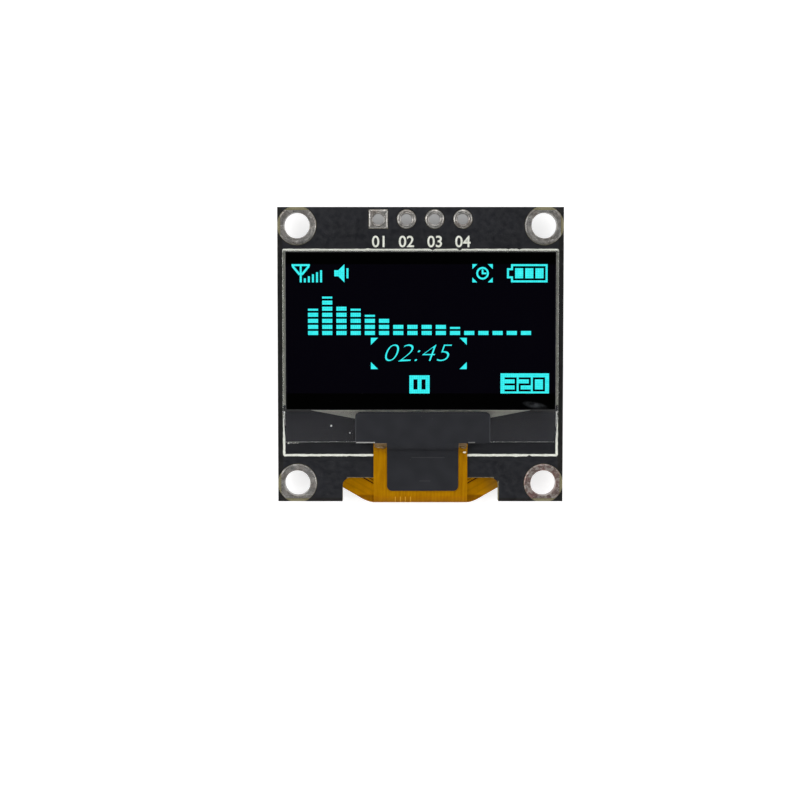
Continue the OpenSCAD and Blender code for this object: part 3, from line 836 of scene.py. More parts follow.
# %% The mounting ring
hole = 1.15
ring_face = [
    (hole, mid), (hole, tin_top - 0.05), (1.163, tin_top - 0.02),
    (1.2, tin_top - 0.006), (1.3, tin_top), (1.42, tin_top + 0.01),
    (1.52, tin_top + 0.028), (1.58, tin_top + 0.034), (1.64, tin_top + 0.027),
    (1.7, tin_top + 0.006), (1.735, tin_top - 0.02), (1.75, laminate_top),
    (hole + 0.05, laminate_top),
]
ring = turned("mounting_ring", both_faces(ring_face), 96)
hole_side, hole_end = 1.75, 1.65
corner_x, corner_y = board_high.x / MM - hole_side, board_high.y / MM - hole_end
print("ring round a %.1f mm hole" % (2 * hole))

# %% [markdown]
# The copper stops short of the board's edge, so the ring loses a sliver on
# two sides. The bisect operator cuts it there and closes the cut.

# %% Cut the ring at the edge of the copper and copy it to the corners
start_edit(ring)
for reach, normal in ((1.47, (-1, 0, 0)), (1.37, (0, 1, 0))):
    bpy.ops.mesh.select_all(action="SELECT")
    spot = Vector(normal) * reach * MM
    bpy.ops.mesh.bisect(plane_co=spot, plane_no=normal, use_fill=True,
                        clear_outer=True, threshold=0.0001 * MM)
end_edit()
for number, (sx, sy) in enumerate(((-1, 1), (1, 1), (-1, -1), (1, -1)), start=1):
    copy = duplicate(ring, f"tin_ring_{number}")
    copy.scale = (-sx, sy, 1)
    copy.location = (sx * corner_x * MM, sy * corner_y * MM, 0)
    settle(copy)
    face_outwards(copy)
    paint = worn_tin_paint if number == 4 else tin_paint
    finish_piece(copy, [paint], [f"mounting_ring_{number}"])
bpy.data.objects.remove(ring)

# %% [markdown]
# The header pads are fuller: each is a ring of solder round an open hole.
# Three are round, and the first is square, which marks pin one. Its outer
# loops start round and are pushed out to a square.

# %% The header pads
pad_face = [
    (0.5, mid), (0.5, tin_top - 0.06), (0.505, tin_top - 0.03),
    (0.525, tin_top - 0.006), (0.6, tin_top + 0.034), (0.635, tin_top + 0.04),
    (0.69, tin_top + 0.032), (0.75, tin_top + 0.014), (0.81, tin_top - 0.012),
    (0.85, laminate_top), (0.67, laminate_top),
]
pad = turned("header_pad", both_faces(pad_face), 64)
square_pad = duplicate(pad, "header_pad_square")
core, bend = 0.62, 0.16
for vertex in square_pad.data.vertices:
    x, y, z = vertex.co / MM
    radius = math.hypot(x, y)
    within_board = laminate_bottom + 0.001 < z < laminate_top - 0.001
    if radius > core and not within_board:
        push = min(1.0, (radius - core) / bend)
        vertex.co.xy *= 1 + push * (radius / max(abs(x), abs(y)) - 1)
pin_pitch, pin_inset = 2.54 * MM, 1.08 * MM
pin_x = [(number - 1.5) * pin_pitch for number in range(4)]
pad_y = board_high.y - pin_inset
for number, x in enumerate(pin_x, start=1):
    copy = duplicate(square_pad if number == 1 else pad, f"tin_pad_{number}")
    copy.location = (x, pad_y, 0)
    settle(copy)
    finish_piece(copy, [tin_paint], [f"header_pad_{number}"], smooth=50)
bpy.data.objects.remove(pad)
bpy.data.objects.remove(square_pad)

# %% [markdown]
# ## Printed ink
# The white frame round the glass is screen printed. Its edge is never quite
# straight, and it misses in places. A thin frame made by insetting a plane
# is cut into short lengths, whose corners are moved a few microns at random.

# %% The printed frame
ink_low, ink_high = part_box("front_print")
line_inset, line_width, ink_height = 0.07 * MM, 0.21 * MM, 0.02
middle = (ink_low + ink_high) / 2
middle.z = ink_low.z
ink_frame = plane("ink_frame", middle, ink_high.x - ink_low.x - 2 * line_inset,
                  ink_high.y - ink_low.y)
start_edit(ink_frame)
bpy.ops.mesh.bevel(offset=0.15 * MM, segments=3, affect="VERTICES")
bpy.ops.mesh.inset(thickness=line_width)
bpy.ops.mesh.delete(type="FACE")
bpy.ops.mesh.select_all(action="SELECT")
pick("EDGE", lambda edge, middle: edge.calc_length() > 3 * MM)
bpy.ops.mesh.subdivide(number_cuts=199)
bpy.ops.mesh.select_all(action="SELECT")
bpy.ops.transform.vertex_random(offset=0.014 * MM, uniform=1.0, seed=4)
bpy.ops.transform.resize(value=(1, 1, 0), center_override=(0, 0, ink_low.z))
print("frame of %.2f x %.2f mm" % ((ink_high.x - ink_low.x) / MM,
                                   (ink_high.y - ink_low.y) / MM))

# %% Nicks and misses in the print, then its thickness
line_top, line_low = ink_high.y / MM, ink_low.y / MM
nicks = [(1.1, line_top, -0.12), (3.55, line_top, -0.16), (6.1, line_top, -0.17),
         (7.95, line_top, -0.06), (8.9, line_top, -0.08), (-4.7, line_top, 0.05),
         (-6.4, line_low, 0.06), (-2.2, line_top, -0.05), (9.9, line_low, 0.1),
         (-9.3, line_low, -0.05), (8.6, line_low, -0.05)]
for x, y, depth in nicks:
    pick("VERT", lambda vertex, middle:
         abs(middle.x - x) < 0.064 and abs(middle.y - y) < 0.05)
    bpy.ops.transform.translate(value=(0, depth * MM, 0))
miss_x, miss_y = ink_low.x / MM, -7.95
pick("FACE", lambda face, middle:
     abs(middle.x - miss_x) < 0.3 and abs(middle.y - miss_y) < 0.06)
bpy.ops.mesh.delete(type="FACE")
bpy.ops.mesh.select_all(action="SELECT")
end_edit()
apply_modifier(ink_frame, "SOLIDIFY", thickness=ink_height * MM, offset=1)
finish_piece(ink_frame, [ink_paint], ["front_print"])

# %% [markdown]
# Each header hole is named in white ink. Plain numbers stand there: a text
# object is laid flat, given the ink's thickness and turned into a mesh.


# %% The numbers of the pins
figure_share = 0.7  # of the font's size


def lettering(name, words, height, place, thickness, slant=0.0, weight=0.0, wide=0.0):
    """Plain figures as a mesh on a place: height mm high and, if given, wide mm wide."""
    bpy.ops.object.select_all(action="DESELECT")
    bpy.ops.object.text_add(location=(0, 0, 0))
    piece = bpy.context.object
    piece.name = name
    piece.data.body = words
    piece.data.size = height / figure_share * MM
    piece.data.shear = slant
    piece.data.offset = weight * MM
    piece.data.extrude = thickness / 2 * MM
    piece.data.resolution_u = 6
    bpy.ops.object.convert(target="MESH")
    settle(piece)
    corners = [v.co for v in piece.data.vertices]
    low = Vector([min(c[i] for c in corners) for i in range(3)])
    high = Vector([max(c[i] for c in corners) for i in range(3)])
    piece.location = -(low + high) / 2
    settle(piece)
    if wide:
        piece.scale.x = wide * MM / (high.x - low.x)
    piece.location = place
    settle(piece)
    start_edit(piece)
    bpy.ops.mesh.remove_doubles(threshold=0.0005 * MM)
    bpy.ops.mesh.normals_make_consistent(inside=False)
    end_edit()
    return piece


for number, x in enumerate(pin_x, start=1):
    spot = Vector((x, pad_y - 2.02 * MM, ink_low.z + ink_height / 2 * MM))
    label = lettering(f"pin_number_{number}", f"0{number}", 1.0, spot, ink_height,
                      weight=0.02)
    finish_piece(label, [ink_paint])

# %% [markdown]
# ## Glass and film
# A sheet of glass is cut from a larger one and its edges are ground. Each
# sheet is a block with fine bevels, and its rim gets the ground finish. The
# front sheet is cut across where its bare ledge starts, and its lower edge is
# drawn in, so that its sides run slightly inwards over the ledge. The film is
# a block too, with a crisper edge.

# %% The two sheets of glass
ledge_start, lower_inset = -4.97, 0.22
for name, new_name in (("cap_glass", "rear_sheet"), ("front_glass", "front_sheet")):
    low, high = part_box(name)
    sheet = block(new_name, low, high)
    soften(sheet, 0.05, 2)
    if name == "front_glass":
        start_edit(sheet)
        bpy.ops.mesh.bisect(plane_co=(0, ledge_start * MM, 0), plane_no=(0, 1, 0))
        pick("VERT", lambda vertex, middle: middle.y < ledge_start - 0.01)
        bpy.ops.transform.resize(value=(1 - lower_inset * MM / high.x, 1, 1),
                                 center_override=(0, 0, 0))
        end_edit()
    finish_piece(sheet, [glass_paint, ground_paint], [name], smooth=10)
    for face in sheet.data.polygons:
        face.material_index = int(abs(face.normal.z) < 0.5)

# %% The film
film = block("dark_film", film_low, film_high)
soften(film, 0.03, 2)
finish_piece(film, [film_paint], ["polarizer_film"], smooth=10)

# %% [markdown]
# ## The lit picture
# Each lit dot is a separate square of light with a dark gap round it. One
# grid with a face for every dot covers the picture. The faces of dark dots
# are deleted, and the rest are inset one by one, which leaves the gaps. Small
# signs are drawn with a character for each dot, and the bars of the
# level meter are counted out.

# %% Signs, a character to a dot
BATTERY = """
..##################
..#................#
###.####.####.####.#
#...####.####.####.#
#...####.####.####.#
#...####.####.####.#
###.####.####.####.#
..#................#
..##################
"""
PAUSE = """
##########
##########
##..##..##
##..##..##
##..##..##
##..##..##
##..##..##
##########
##########
"""
FIGURES = """
######.######.######
.....#......#.#....#
.....#......#.#....#
######.######.#....#
.....#.#......#....#
.....#.#......#....#
######.######.######
"""
print("signs for a battery, a pause and a number")


# %% Reading a sign
def drawn(sign, column, row):
    """The dots of a sign, as (column, row) pairs from its upper left."""
    lines = sign.strip().splitlines()
    return {(column + x, row + y) for y, line in enumerate(lines)
            for x, mark in enumerate(line) if mark == "#"}


def patch(left, top, right, bottom):
    """All the dots of a rectangle."""
    return {(x, y) for x in range(left, right) for y in range(top, bottom)}


print("a battery of", len(drawn(BATTERY, 0, 0)), "dots")


# %% Making lit dots
light_height, gap_inset = 0.02, 0.003


def lit_dots(name, lit, slanted, stands_for):
    """One grid over the picture, cut down to its lit dots, joined to slanted signs."""
    bpy.ops.object.select_all(action="DESELECT")
    bpy.ops.mesh.primitive_grid_add(x_subdivisions=COLUMNS, y_subdivisions=ROWS, size=1)
    piece = bpy.context.object
    piece.name = name
    piece.scale = (COLUMNS * dot_w, ROWS * dot_h, 1)
    piece.location = (picture_left + COLUMNS * dot_w / 2,
                      picture_top - ROWS * dot_h / 2, film_high.z)
    settle(piece)
    start_edit(piece)
    pick("FACE", lambda face, middle: (
        math.floor((middle.x * MM - picture_left) / dot_w),
        math.floor((picture_top - middle.y * MM) / dot_h)) not in lit)
    bpy.ops.mesh.delete(type="FACE")
    bpy.ops.mesh.select_all(action="SELECT")
    bpy.ops.mesh.inset(thickness=gap_inset * MM, use_individual=True)
    bpy.ops.mesh.select_all(action="INVERT")
    bpy.ops.mesh.delete(type="FACE")
    end_edit()
    only(piece)
    for sign in slanted:
        sign.select_set(True)
    if slanted:
        bpy.ops.object.join()
    apply_modifier(piece, "SOLIDIFY", thickness=light_height * MM, offset=1)
    finish_piece(piece, [lit_paint], [stands_for], smooth=20)


print("dot maker ready")


# %% Slanted and round signs, in dots from the picture's upper left
def dot_spot(column, row):
    """A place on the film."""
    return Vector((picture_left + column * dot_w, picture_top - row * dot_h, film_high.z))


def stroke(start, stop, width):
    """A straight line between two spots, width dots wide."""
    first, last = dot_spot(*start), dot_spot(*stop)
    run = last - first
    return plane("stroke", (first + last) / 2, run.length, width * dot_h,
                 math.atan2(run.y, run.x))


def wedge(corner, across, down):
    """A right-angled triangle that reaches across and down from its corner."""
    spot = dot_spot(*corner)
    reach = Vector((across * dot_w, -down * dot_h, 0))
    piece = plane("wedge", spot + reach / 2, abs(reach.x), abs(reach.y))
    start_edit(piece)
    slope = Vector((1 / reach.x, 1 / reach.y, 0)).normalized()
    bpy.ops.mesh.bisect(plane_co=spot + reach / 2, plane_no=slope, clear_outer=True,
                        threshold=0.0001 * MM)
    end_edit()
    return piece


def hoop(middle, radius, width):
    """A flat ring."""
    bpy.ops.mesh.primitive_circle_add(vertices=40, radius=radius * dot_h,
                                      fill_type="NGON", location=dot_spot(*middle))
    piece = bpy.context.object
    settle(piece)
    start_edit(piece)
    bpy.ops.mesh.inset(thickness=width * dot_h)
    bpy.ops.mesh.delete(type="FACE")
    end_edit()
    return piece


print("strokes, wedges and hoops ready")

# %% Status signs along the top
bars = patch(0, 0, 9, 1) | patch(4, 1, 5, 9)
slanted = [stroke((0.5, 1.0), (4.0, 5.2), 1.05), stroke((8.5, 1.0), (5.0, 5.2), 1.05)]
for step in range(5):
    bars |= patch(6 + 2 * step, 7 - step, 7 + 2 * step, 9)
speaker = patch(21, 3, 26, 6) | patch(27, 2, 28, 7)
slanted += [wedge((26, 3), -3, -3), wedge((26, 6), -3, 3)]
slanted += [hoop((94, 4.5), 3.1, 0.9), stroke((94, 5.0), (94, 2.6), 0.85),
            stroke((94.4, 4.55), (95.9, 4.55), 0.85)]
for column, row, across, down in ((89, 0, 1, 1), (99, 0, -1, 1),
                                  (89, 9, 1, -1), (99, 9, -1, -1)):
    slanted.append(wedge((column, row), 2.4 * across, 2.4 * down))
lit_dots("status_signs", bars | speaker | drawn(BATTERY, 106, 0), slanted, "status_icons")

# %% The level meter
BLOCKS = [4, 6, 5, 4, 3, 3, 2, 2, 2, 2, 1, 1, 1, 1, 1, 1]
CAPPED = [0, 1, 3, 4, 10]
meter = set()
for number, blocks in enumerate(BLOCKS):
    start = 8 + 7 * number
    for level in range(blocks):
        meter |= patch(start, 33 - 3 * level, start + 5, 35 - 3 * level)
    if number in CAPPED:
        top = 35 - 3 * blocks
        meter |= patch(start, top - 1, start + 5, top)
lit_dots("level_meter", meter, [], "level_bars")

# %% Frame marks, pause sign and label
marks = []
for column, row, across, down in ((39, 36.4, 1, 1), (86.3, 36.4, -1, 1),
                                  (39, 51.9, 1, -1), (86.3, 51.9, -1, -1)):
    marks.append(wedge((column, row), 3.5 * across, 3.5 * down))
player = drawn(PAUSE, 58, 55)
player |= patch(103, 54, 127, 64) - drawn(FIGURES, 105, 56)
lit_dots("player_signs", player, marks, "player_marks")

# %% [markdown]
# The running time in the middle is set in slanted figures. They are finer
# than the dots, so they are drawn as text, as thick as the dots are high.

# %% The running time
spot = Vector((picture_left + 62.5 * dot_w, picture_top - 43.9 * dot_h,
               film_high.z + light_height / 2 * MM))
time_figures = lettering("time_figures", "02:45", 8.8 * dot_h / MM, spot, light_height,
                         slant=0.3, weight=-0.05, wide=33 * dot_w / MM)
finish_piece(time_figures, [lit_paint], smooth=20)

# %% [markdown]
# ## The flex cable
# The cable was cut from a flat film: a neck, two sloping shoulders and a
# wide tail. It leaves the underside of the front glass, steps down to the
# board, runs to the notch and folds round to the back. It is modelled flat,
# with plane and extrude, cut across into narrow strips, and then each
# vertex is carried along the path that the cable takes. Bending it this way
# keeps its width and length true, as the real film does.


# %% A path of straights and bends
def arc(centre, radius, start, stop, steps=12):
    """Points of (y, z) on an arc, in mm and degrees."""
    turns = [start + (stop - start) * i / steps for i in range(steps + 1)]
    return [(centre[0] + radius * math.cos(math.radians(t)),
             centre[1] + radius * math.sin(math.radians(t))) for t in turns]


def step_down(y, high, low, angle):
    """An S of two equal bends, from one level to a lower one."""
    radius = (high - low) / (2 * (1 - math.cos(math.radians(angle))))
    run = 2 * radius * math.sin(math.radians(angle))
    return (arc((y, high - radius), radius, 90, 90 + angle)
            + arc((y - run, low + radius), radius, angle - 90, -90))


def along(points, distance):
    """The (y, z) place at a distance along a path."""
    for first, second in zip(points, points[1:]):
        length = math.dist(first, second)
        if distance <= length:
            share = distance / length if length else 0
            return [a + (b - a) * share for a, b in zip(first, second)]
        distance -= length
    return points[-1]


def path_length(points):
    """The length of a path."""
    return sum(math.dist(a, b) for a, b in zip(points, points[1:]))


print("path helpers ready")

# %% The cable's path and flat sizes
neck, tail, shoulder_slope = 8.5, 19.0, math.tan(math.radians(30))
cable_low, cable_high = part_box("flex_cable")
glass_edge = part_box("front_glass")[0].y / MM
cable_film, cable_gap = 0.1, 0.03
bond_z = cable_high.z / MM - cable_film / 2
back_z = cable_low.z / MM + cable_film / 2
front_z = mask_top + cable_gap + cable_film / 2
fold_r = (front_z - back_z) / 2
fold_middle = (cable_low.y / MM + cable_film / 2 + fold_r, (front_z + back_z) / 2)
cable_step, tail_end = glass_edge - 0.1, -7.3
front_run = ([(cable_high.y / MM, bond_z)]
             + step_down(cable_step, bond_z, front_z, 57)
             + arc(fold_middle, fold_r, 90, 180))
cable_path = front_run + arc(fold_middle, fold_r, 180, 270) + [(tail_end, back_z)]
shoulder_at = path_length(front_run)
cable_length = path_length(cable_path)
shoulder = (tail - neck) / 2 * shoulder_slope
print("cable %.2f mm long, shoulders from %.2f mm" % (cable_length, shoulder_at))


# %% [markdown]
# ### The paint of the cable
# The cable is amber plastic over hair-thin copper traces. The traces follow
# the cable round its fold and then slant outwards with its shoulders, so its
# paint reads the flat pattern that the cable was cut from, kept as its UV
# map. Between two groups of traces the plastic is bare and looks dark.

# %% Cable paint
cable_paint, tree, shader, place = new_paint("cable_paint", 0.5)
shader.inputs["Specular IOR Level"].default_value = 0.03
flat_unit = 100
flat = add(tree, "UVMap", uv_map="flat").outputs[0]
flat = add(tree, "Mapping", {"Vector": flat, "Scale": [flat_unit] * 3}).outputs[0]
x, y = x_and_y(tree, flat)
out_x = maths(tree, "ABSOLUTE", x)
past = maths(tree, "SUBTRACT", y, shoulder_at)
beside_neck = maths(tree, "SUBTRACT", out_x, neck / 2)
inward = maths(tree, "SUBTRACT", past, times(tree, beside_neck, shoulder_slope))
fan = add(tree, "CombineXYZ", {"X": inward}).outputs[0]
turned_side = maths(tree, "GREATER_THAN", past, 0.9)
straight = effect(tree, stripes, flat, Count=3.2, Share=0.62)
slanting = effect(tree, stripes, fan, Count=1.6, Share=0.3)
track = maths(tree, "ADD", times(tree, slanting, turned_side),
              times(tree, straight, maths(tree, "SUBTRACT", 1.0, turned_side)))
gaps = [maths(tree, "COMPARE", inward, 1.98, 0.055),
        maths(tree, "COMPARE", inward, 2.27, 0.03)]
gap = times(tree, maths(tree, "MAXIMUM", *gaps), turned_side)
stain = effect(tree, grain, flat, Scale=0.7, Detail=3.0)
streak_place = add(tree, "Mapping", {"Vector": flat, "Scale": (5.0, 0.35, 1)})
streak = effect(tree, grain, streak_place.outputs[0], Scale=1.0, Detail=2.0)
# Painted shade: the cable is darker round its fold, where it curves away from the light.
fold = maths(tree, "COMPARE", past, 0.0, 1.0)
leg = mottle(tree, stain, (138, 90, 0), (164, 112, 0))
side_wing = mottle(tree, stain, (188, 125, 0), (216, 148, 0))
base = blend(tree, turned_side, leg, side_wing)
base = touch(tree, base, track, (116, 70, 0), 0.18)
base = touch(tree, base, fold, (150, 86, 0), 0.4)
base = touch(tree, base, streak, (204, 150, 10), 0.25)
base = touch(tree, base, gap, (66, 20, 2))
# Painted highlights: short bright glints across the cable just before its fold.
painted_glints = effect(tree, stripes, flat, Count=2.2, Share=0.14)
painted_glints = times(tree, painted_glints, maths(tree, "COMPARE", x, -1.7, 0.85),
               maths(tree, "COMPARE", past, -0.55, 0.4))
base = touch(tree, base, painted_glints, (246, 190, 70), 0.55)
# Painted shade: the outer end of the right shoulder turns brown grey.
painted_shade = remap(tree, x, 5.7, 6.8, 0.0, 0.5)
base = touch(tree, base, times(tree, painted_shade, turned_side), (112, 88, 46))
feed(tree, shader, "Base Color", base)
uneven_shine(tree, shader, flat, 1.5, 0.42, 0.6)
bump(tree, shader, track, 0.005)
print("cable mixed")


# %% Wrapping a flat sheet
def keep_flat_pattern(piece):
    """Stores the flat place of each corner as a UV map, 100 mm to its unit."""
    layer = piece.data.uv_layers.new(name="flat")
    for loop in piece.data.loops:
        place = piece.data.vertices[loop.vertex_index].co
        layer.data[loop.index].uv = (place.x / MM / flat_unit, -place.y / MM / flat_unit)


def wrap(piece, path):
    """Carries each vertex of a flat sheet, laid out towards -Y, along a path."""
    for vertex in piece.data.vertices:
        y, z = along(path, max(0.0, -vertex.co.y / MM))
        vertex.co.y, vertex.co.z = y * MM, z * MM


def cut_across(start, stop, step):
    """Cuts the open sheet into strips across its length, in mm."""
    for number in range(int((stop - start) / step) + 1):
        bpy.ops.mesh.select_all(action="SELECT")
        bpy.ops.mesh.bisect(plane_co=(0, -(start + number * step) * MM, 0),
                            plane_no=(0, 1, 0), threshold=0.0001 * MM)


def bend_along(piece, path, thickness, shift=0.0):
    """Carries a flat sheet along a path, shifts it sideways and makes it solid."""
    keep_flat_pattern(piece)
    wrap(piece, path)
    piece.location.x = shift
    settle(piece)
    apply_modifier(piece, "SOLIDIFY", thickness=thickness * MM, offset=0)
    face_outwards(piece)


print("wrapping helpers ready")

# %% The cable, cut flat
cable = plane("amber_cable", (0, -shoulder_at / 2 * MM, 0), neck * MM, shoulder_at * MM)
start_edit(cable)
pick("EDGE", lambda edge, middle: middle.y < -shoulder_at + 0.001)
extrude(0, -shoulder, 0)
bpy.ops.transform.resize(value=(tail / neck, 1, 1), center_override=(0, 0, 0))
extrude(0, shoulder_at + shoulder - cable_length, 0)
step_at = cable_high.y / MM - cable_step
cut_across(step_at, step_at + 1.5, 0.09)
cut_across(shoulder_at - 1.15, shoulder_at + 1.2, 0.07)
cut_across(shoulder_at + 1.3, cable_length, 0.5)
end_edit()
bend_along(cable, cable_path, cable_film)
finish_piece(cable, [cable_paint], ["flex_cable"], smooth=40)

# %% [markdown]
# ## The black tape
# A T of black tape holds the cable: its bar lies on the ledge of the glass
# and its stem follows the cable down. It is cut flat as well, with round
# corners, and laid along its own path.

# %% The path of the tape
tape_film, overlap = 0.06, 0.08
bar_half, stem_half = (tape_high.x - tape_low.x) / 2 / MM, 3.225
ledge_z = tape_high.z / MM - tape_film / 2
stem_z = tape_low.z / MM + tape_film / 2
tape_top, tape_step = tape_high.y / MM + overlap, glass_edge - 0.04
tape_path = ([(tape_top, ledge_z)] + step_down(tape_step, ledge_z, stem_z, 75)
             + [(tape_low.y / MM, stem_z)])
tape_length = path_length(tape_path)
bar_height = tape_top - glass_edge + overlap
print("tape %.2f mm long when flat" % tape_length)

# %% The tape, cut flat
black_tape = plane("tape_t", (0, -bar_height / 2 * MM, 0), 2 * stem_half * MM,
                   bar_height * MM)
start_edit(black_tape)
for sign in (-1, 1):
    pick("EDGE", lambda edge, middle: middle.x * sign > stem_half - 0.001)
    extrude((bar_half - stem_half) * sign, 0, 0)
pick("EDGE", lambda edge, middle: middle.y < -bar_height + 0.001 and abs(middle.x) < 1)
extrude(0, bar_height - tape_length, 0)
pick("VERT", lambda vertex, middle:
     (middle.y > -0.001 and abs(middle.x) > bar_half - 0.001)
     or middle.y < -tape_length + 0.001)
bpy.ops.mesh.bevel(offset=0.45 * MM, segments=6, affect="VERTICES")
print("bar %.2f mm and stem %.2f mm wide" % (2 * bar_half, 2 * stem_half))

# %% The tape, laid down
bend_at = tape_top - tape_step
cut_across(bend_at, bend_at + 1.9, 0.08)
cut_across(bend_at + 2.0, tape_length - 0.5, 0.4)
cut_across(0.5, bend_at - 0.1, 0.4)
end_edit()
bend_along(black_tape, tape_path, tape_film, tape_middle)
finish_piece(black_tape, [tape_paint], ["black_tape"], smooth=40)

# %% [markdown]
# ## Glue, dust and chips of ink
# Two lumps of brown glue sit on the cable where it leaves the glass, and a
# bead has run down from one. The bead is painted near white, a painted highlight
# for the glint it catches. A few specks of dust lie on the ledge, and chips of
# ink lie by the broken corner of the frame. Each is a small ball, pressed flat
# on what carries it, with its points moved a little at random.


# %% A small ball, pressed flat
def lump(name, place, reach, seed):
    """A ball at a place, reaching out by reach on each axis, all in mm."""
    bpy.ops.mesh.primitive_ico_sphere_add(subdivisions=3, radius=1,
                                          location=Vector(place) * MM)
    piece = bpy.context.object
    piece.name = name
    piece.scale = Vector(reach) * MM
    settle(piece)
    start_edit(piece)
    bpy.ops.transform.vertex_random(offset=min(reach) * 0.2 * MM, uniform=0.6, seed=seed)
    bpy.ops.mesh.vertices_smooth(factor=0.6, repeat=2)
    end_edit()
    return piece


def joined(name, pieces):
    """Several pieces as one."""
    only(pieces[0])
    for piece in pieces[1:]:
        piece.select_set(True)
    bpy.ops.object.join()
    pieces[0].name = name
    return pieces[0]


print("lump helpers ready")

# %% Glue
# The bead's near white colour is a painted highlight: it stands for a glint on a drop of
# glue.
glint_bead_paint = mottled_paint("glint_bead_paint", 0.25, 9.0, 3.0,
                           (226, 214, 170), (246, 242, 226))
cloudy = [((-3.62, -8.2, 2.86), (0.6, 0.27, 0.2)), ((-3.4, -8.3, 2.78), (0.3, 0.22, 0.2)),
          ((3.86, -8.2, 2.86), (0.4, 0.27, 0.2)), ((3.95, -8.33, 2.74), (0.26, 0.2, 0.2))]
lumps = [lump("glue", place, reach, seed)
         for seed, (place, reach) in enumerate(cloudy)]
finish_piece(joined("glue_lumps", lumps), [glue_paint], smooth=60)
finish_piece(lump("glue_bead", (4.0, -8.82, 2.5), (0.16, 0.1, 0.07), 5),
             [glint_bead_paint], smooth=60)

# %% Dust and chips
dust_paint = mottled_paint("dust_paint", 0.8, 12.0, 3.0,
                           (184, 186, 186), (228, 230, 228))
ledge_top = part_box("front_glass")[1].z / MM
specks_at = [(-8.03, -6.34, 0.085), (-6.36, -6.98, 0.055), (-5.83, -5.7, 0.05),
             (5.95, -5.62, 0.05), (5.9, -7.85, 0.05)]
motes = [lump("mote", (x, y, ledge_top + 0.01), (wide, wide, 0.02), seed)
         for seed, (x, y, wide) in enumerate(specks_at)]
finish_piece(joined("dust", motes), [dust_paint], smooth=60)
chips_at = [(-11.95, -8.0, 0.09), (-11.72, -7.96, 0.06), (-11.5, -8.03, 0.05),
            (-11.34, -7.97, 0.06), (-11.12, -8.02, 0.05)]
chips = [lump("ink_chip", (x, y, mask_top + 0.02), (wide, wide * 0.7, 0.025), seed)
         for seed, (x, y, wide) in enumerate(chips_at)]
finish_piece(joined("ink_chips", chips), [ink_paint], smooth=60)

# %% [markdown]
# ## Parts on the back
# A chip capacitor is a block of ceramic with a metal cap on each end. The
# block is cut across near its ends, the end pieces are thickened outwards,
# and every edge is softened. One is made for the capacitors and one for the
# resistors, and both are copied to their places.


# %% A chip with metal ends
def chip(name, low, high, metal, skin=0.02):
    """A chip that lies along X between two corners, with thickened ends."""
    inner = Vector((0, skin, skin)) * MM
    piece = block(name, low + inner, high - inner)
    middle = (low.x + high.x) / 2
    end_at = (high.x - low.x) / 2 - metal * MM
    start_edit(piece)
    for sign in (-1, 1):
        bpy.ops.mesh.select_all(action="SELECT")
        bpy.ops.mesh.bisect(plane_co=(middle + sign * end_at, 0, 0), plane_no=(1, 0, 0))
    pick("FACE", lambda face, spot: abs(spot.x - middle / MM) > end_at / MM
         and abs(face.normal.x) < 0.5)
    bpy.ops.mesh.extrude_region_shrink_fatten(
        TRANSFORM_OT_shrink_fatten={"value": skin * MM})
    bpy.ops.mesh.select_all(action="SELECT")
    bpy.ops.mesh.normals_make_consistent(inside=False)
    end_edit()
    soften(piece, 0.035, 3)
    return piece


def paint_ends(piece, metal):
    """Gives the metal ends their own paint, by place."""
    ends = [v.co.x for v in piece.data.vertices]
    for face in piece.data.polygons:
        near = min(face.center.x - min(ends), max(ends) - face.center.x)
        face.material_index = int(near < metal * MM)


print("chip helper ready")

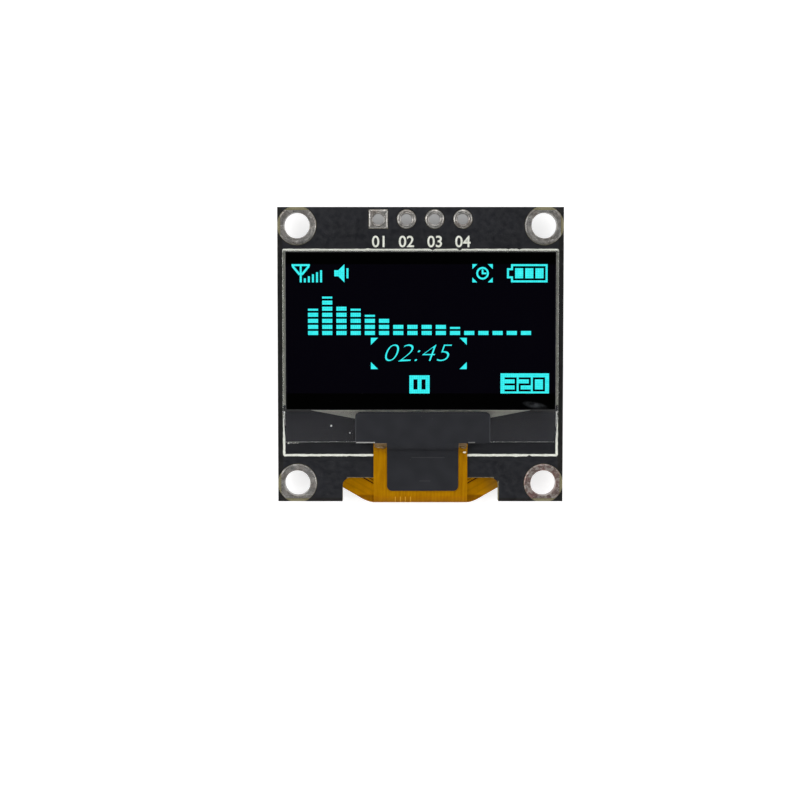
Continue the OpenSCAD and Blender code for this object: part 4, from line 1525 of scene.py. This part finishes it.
# %% Capacitors and resistors
for kind, slot, count, body in (("capacitor", "capacitor", 7, tan_paint),
                                ("resistor", "resistor", 6, white_paint)):
    low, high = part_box(kind + "_1")
    first = chip(kind + "_chip", low, high, 0.32)
    centre = (low + high) / 2
    first.location = -centre
    settle(first)
    finish_piece(first, [body, solder_paint])
    paint_ends(first, 0.36)
    if kind == "resistor":
        first.data.materials.append(black_paint)
        for face in first.data.polygons:
            if face.normal.z < -0.5 and face.material_index == 0:
                face.material_index = 2
    for number in range(1, count + 1):
        low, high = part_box(f"{kind}_{number}")
        copy = duplicate(first, f"{kind}_chip_{number}")
        if high.y - low.y > high.x - low.x:
            copy.rotation_euler.z = math.pi / 2
        copy.location = (low + high) / 2
        settle(copy)
        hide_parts(f"{kind}_{number}")
    bpy.data.objects.remove(first)
print("13 chips placed")

# %% [markdown]
# The two leaded parts have moulded bodies whose walls slope to a belt, as
# the mould's two halves leave them. Each is a block that is cut at the belt,
# with its top and bottom drawn in.


# %% Moulded bodies
def moulded(name, node):
    """A moulded body with sloped walls that meet at a belt."""
    low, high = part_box(node)
    piece = block(name, low, high)
    belt = high.z - 0.47 * (high.z - low.z)
    start_edit(piece)
    bpy.ops.mesh.bisect(plane_co=(0, 0, belt), plane_no=(0, 0, 1))
    pick("FACE", lambda face, spot: abs(face.normal.z) > 0.9)
    shrink = 1 - 0.2 * MM / (high.y - low.y)
    bpy.ops.transform.resize(value=(0.975, shrink, 1), center_override=(low + high) / 2)
    end_edit()
    soften(piece, 0.05, 3)
    finish_piece(piece, [epoxy_paint], [node])


moulded("regulator_block", "regulator_body")
moulded("diode_block", "diode_body")

# %% [markdown]
# Thirty joints hold the cable's tail to its pads. Each is a long low drop of
# solder: a sphere squashed to the joint's size and cut flat at the board,
# then repeated by an array.

# %% Solder joints of the cable
joint_low, joint_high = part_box("flex_joints")
bpy.ops.object.select_all(action="DESELECT")
bpy.ops.mesh.primitive_uv_sphere_add(segments=16, ring_count=10, radius=1)
joints = bpy.context.object
joints.name = "cable_joints"
fingers, finger_pitch, joint_half = 30, 0.62 * MM, 0.17 * MM
joints.scale = (joint_half, (joint_high.y - joint_low.y) / 2, joint_high.z - joint_low.z)
joints.location = (joint_low.x + joint_half, (joint_low.y + joint_high.y) / 2,
                   joint_high.z)
settle(joints)
start_edit(joints)
bpy.ops.mesh.bisect(plane_co=(0, 0, joint_high.z), plane_no=(0, 0, 1),
                    use_fill=True, clear_outer=True, threshold=0.0001 * MM)
end_edit()
apply_modifier(joints, "ARRAY", count=fingers, use_relative_offset=False,
               use_constant_offset=True, constant_offset_displace=(finger_pitch, 0, 0))
finish_piece(joints, [solder_paint], ["flex_joints"], smooth=60)
